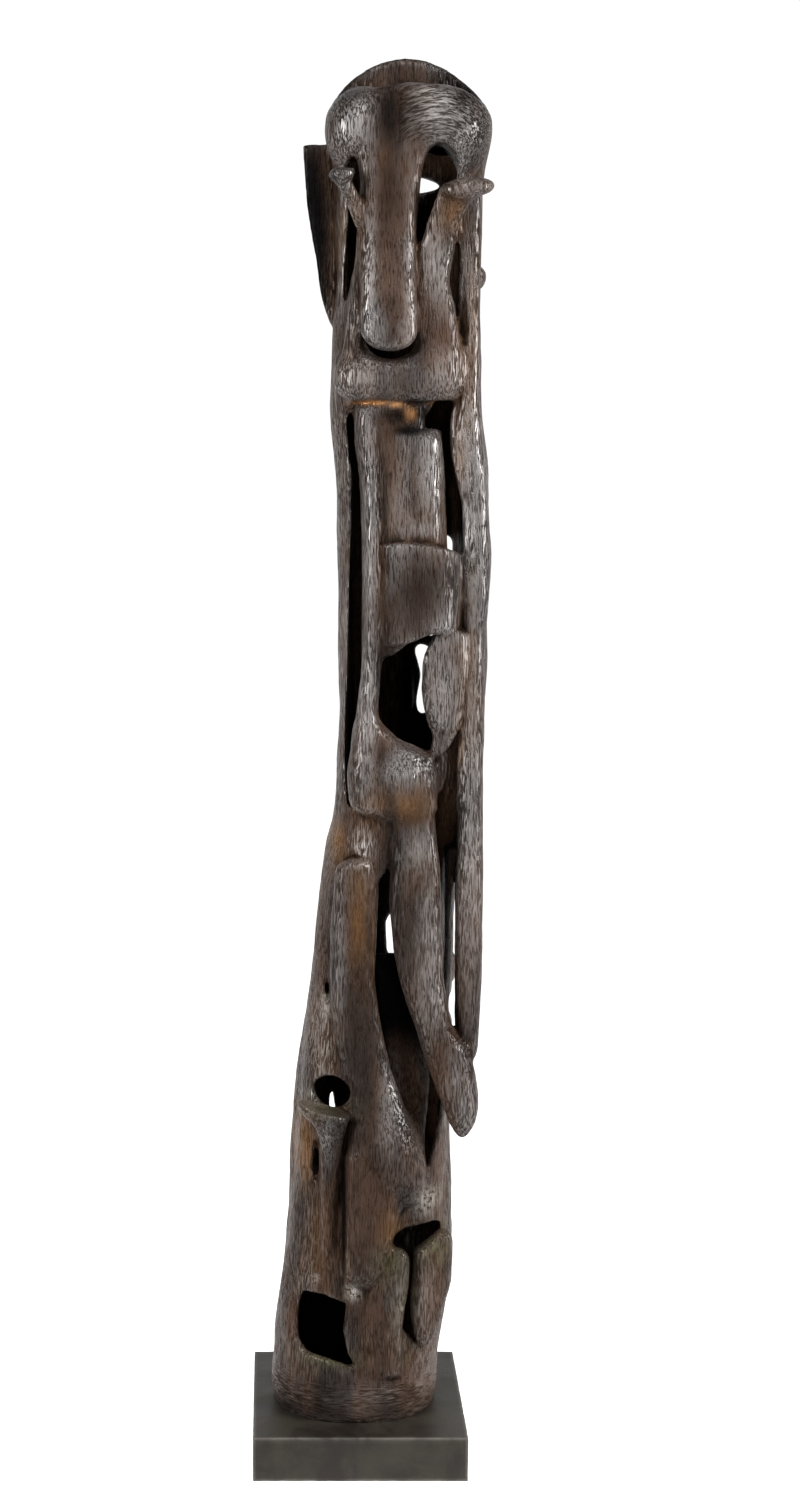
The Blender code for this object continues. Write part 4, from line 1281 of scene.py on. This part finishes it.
def plinth_metal():
    n = Nodes("plinth_metal")
    cloud = n.noise(n.place, 14, 5, 0.6, 0.4)
    speck = n.noise(n.place, 420, 3, 0.7)
    colour = n.mix(n.band(cloud, 0.35, 0.65), PLINTH_DARK, PLINTH_GREEN)
    colour = n.mix(n.band(speck, 0.66, 0.78), colour, PLINTH_WORN)
    worn = n.maths("MULTIPLY", n.attribute("edge"), n.band(cloud, 0.25, 0.6))
    colour = n.mix(worn, colour, PLINTH_WORN)
    n.link(colour, n.shader.inputs["Base Color"])
    n.link(n.band(cloud, 0.3, 0.7, 0.38, 0.55), n.shader.inputs["Roughness"])
    n.shader.inputs["Metallic"].default_value = 0.3
    n.shader.inputs["Specular IOR Level"].default_value = 0.3
    low = n.bump(cloud, 0.003, 0.3)
    n.link(n.bump(speck, 0.0006, 0.5, low), n.shader.inputs["Normal"])
    return n.material


def totem(seat):
    """The casting, carved and hammered above the seat, as one closed skin."""
    clay = carve(GRID_STEP / UNIT)
    points, faces = surface(clay)
    rough = bpy.data.meshes.new("totem rough")
    rough.from_pydata((points * UNIT).tolist(), [], faces.tolist())
    item = piece("totem_casting", rough, bronze(), "totem")
    skin = item.modifiers.new("one closed skin", "REMESH")
    skin.mode = "VOXEL"
    skin.voxel_size = GRID_STEP
    smooth = item.modifiers.new("smooth", "SMOOTH")
    smooth.iterations = 2
    mesh = applied(item)
    points = vertices(mesh) / UNIT
    points += normals(mesh) * relief(points)[:, None]
    points[:, 2] = np.maximum(points[:, 2], 0)
    move(mesh, points * UNIT + [0, 0, seat])
    facets = item.modifiers.new("facets", "DECIMATE")
    facets.ratio = TOTEM_FACES / (2 * len(mesh.polygons))
    mesh = applied(item)
    mesh.shade_smooth()
    paint(mesh, seat)
    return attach(item, "root")


def inner(points):
    """How far inside the trunk's wall each point lies, from 0 to 1."""
    x, y, z = points.T
    left, right, front, back = [between(z, TRUNK, column) for column in (1, 2, 3, 4)]
    across = (2 * x - left - right) / (right - left)
    deep = (2 * y - front - back) / (back - front)
    radius = np.hypot(across, deep)
    return np.clip((0.88 - radius) / 0.06, 0, 1) * np.clip((y + 3.4) / 0.6, 0, 1)


def paint(mesh, seat):
    """Where the casting is rusty, green and scuffed, where highlight, glints and shade are painted
    on it, and how its strokes run, as attributes for its material.
    """
    points = (vertices(mesh) - [0, 0, seat]) / UNIT
    fine = bulges(mesh, FINE_ROUNDS)
    broad = bulges(mesh, BROAD_ROUNDS)
    # Ridges and the listed patches get a painted grey highlight, ridges more so towards the head,
    # and the strokes are shallower at the foot
    proud = np.clip(1.8 * fine, -1, 0.3) + np.clip(0.9 * broad, -1, 0.35)
    proud = proud * np.clip(points[:, 2] / 75, 0.4, 0.9)
    keep(mesh, "painted_highlight", np.clip(proud - 0.10 + patches(points, HIGHLIGHT_PATCHES), 0, 1))
    keep(mesh, "carved", np.clip((points[:, 2] - 20) / 40, 0.7, 1))
    # Rust in the listed patches, and a painted orange glow of bounced light in broad hollows
    keep(mesh, "rust_and_bounce", np.clip(patches(points, RUST) + np.clip(-1.2 * broad, 0, 0.12), 0, 1))
    keep(mesh, "gold_glint", patches(points, GOLD_GLINTS))
    keep(mesh, "green", patches(points, GREEN))
    keep(mesh, "scuff", patches(points, SCUFFS))
    # Painted shade: darker in creases, inside the trunk's wall, in the listed patches and on the
    # crown's inside
    crease = np.clip((-fine - 0.025) / 0.07, 0, 0.8)
    painted_shade = (patches(points, SHADE_PATCHES, rear=1.6), patches(points, CROWN_SHADE, rear=BACK))
    keep(mesh, "painted_shade", np.clip(np.maximum.reduce([*painted_shade, crease, inner(points)]), 0, 1))
    x, y, z = points.T
    keep(mesh, "brow", np.clip((z - BROW_LEVEL) / 1.0, 0, 1) * (y < 0) * (x > 2.2))
    keep(mesh, "foot", np.clip((FOOT_LEVEL - z) / 1.2, 0, 1))
    # Places from, around and behind the arcs' centre, squeezed so that the strokes run along them
    across, up = x - ARC_CENTRE[0], z - ARC_CENTRE[1]
    around = np.arctan2(across, up) * 4
    arcs = np.stack([np.hypot(across, up), around * 0.12, y], 1) * UNIT
    keep_vectors(mesh, "arcs", arcs)


def plinth():
    """The slab, cut into cells so that its worn edges and dents have vertices to move."""
    low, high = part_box("plinth")
    size = high - low
    bm = bmesh.new()
    bmesh.ops.create_cube(bm, size=1)
    bmesh.ops.scale(bm, verts=bm.verts, vec=size)
    bmesh.ops.bevel(bm, geom=bm.edges, offset=PLINTH_EDGE, segments=3, profile=0.5, affect="EDGES")
    longest = size.x / PLINTH_CELLS
    for axis in range(3):
        for place in np.arange(-size[axis] / 2 + longest, size[axis] / 2 - longest / 2, longest):
            normal = Vector([1.0 if k == axis else 0.0 for k in range(3)])
            middle = normal * float(place)
            geometry = bm.verts[:] + bm.edges[:] + bm.faces[:]
            bmesh.ops.bisect_plane(bm, geom=geometry, plane_co=middle, plane_no=normal)
    mesh = bpy.data.meshes.new("plinth slab")
    bm.to_mesh(mesh)
    bm.free()
    points = vertices(mesh)
    half = np.array(size) / 2
    inset = np.sort(half - np.abs(points), axis=1)
    edge = np.clip(1 - inset[:, 1] / EDGE_REACH, 0, 1)
    dent = PLINTH_DENT * (0.3 + edge) * np.clip(Noise(19)(*(points / DENT_SIZE).T), 0, 1)
    points = points - np.sign(points) * (inset[:, :1] < PLINTH_EDGE) * dent[:, None]
    points += np.array((low + high) / 2)
    move(mesh, points)
    mesh.shade_smooth()
    keep(mesh, "edge", edge ** 2)
    item = piece("plinth_slab", mesh, plinth_metal(), "plinth")
    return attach(item, "root")


def floor():
    bm = bmesh.new()
    bmesh.ops.create_grid(bm, x_segments=1, y_segments=1, size=FLOOR_SIZE / 2)
    mesh = bpy.data.meshes.new("floor")
    bm.to_mesh(mesh)
    bm.free()
    n = Nodes("pale floor")
    n.shader.inputs["Base Color"].default_value = (*FLOOR_COLOUR, 1)
    n.shader.inputs["Roughness"].default_value = 0.9
    n.shader.inputs["Emission Color"].default_value = (1, 1, 1, 1)
    glow = ramp_away(n.tree, "Object", -0.7, -0.1, 0.0, FLOOR_GLOW)
    n.link(glow, n.shader.inputs["Emission Strength"])
    item = shown("floor", mesh, n.material)
    item.location = (0, 0, -FLOOR_DROP)


def softbox(name, place, target, width, height, power):
    light = bpy.data.lights.new(name, "AREA")
    light.shape = "RECTANGLE"
    light.size, light.size_y = width, height
    light.energy = power
    item = bpy.data.objects.new(name, light)
    item.location = place
    item.rotation_euler = (Vector(target) - Vector(place)).to_track_quat("-Z", "Y").to_euler()
    bpy.context.collection.objects.link(item)


def studio():
    world = bpy.data.worlds.new("white room")
    bpy.context.scene.world = world
    world.use_nodes = True
    tree = world.node_tree
    background = tree.nodes["Background"]
    background.inputs["Color"].default_value = (1, 1, 1, 1)
    fade = ramp_away(tree, "Generated", 0.55, 0.85, FRONT_GREY, BACKDROP_WHITE)
    tree.links.new(fade, background.inputs["Strength"])
    for row in SOFTBOXES:
        softbox(*row)


def camera():
    """The photograph's camera."""
    data = bpy.data.cameras.new("camera")
    data.sensor_width = SENSOR
    data.lens = FOCAL_PIXELS / PHOTO_HEIGHT * SENSOR
    data.shift_x = (PHOTO_WIDTH / 2 - CENTRE_COLUMN) / PHOTO_HEIGHT
    item = bpy.data.objects.new("camera", data)
    item.location = CAMERA_PLACE
    item.rotation_euler = (math.radians(90 - CAMERA_DROP), 0, 0)
    bpy.context.collection.objects.link(item)
    bpy.context.scene.camera = item


def corners(box):
    return [list(corner) for corner in box]


clear_scene()
bpy.context.scene.view_settings.view_transform = "Standard"
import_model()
camera()
studio()
floor()
plinth()
totem(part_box("totem")[0].z)
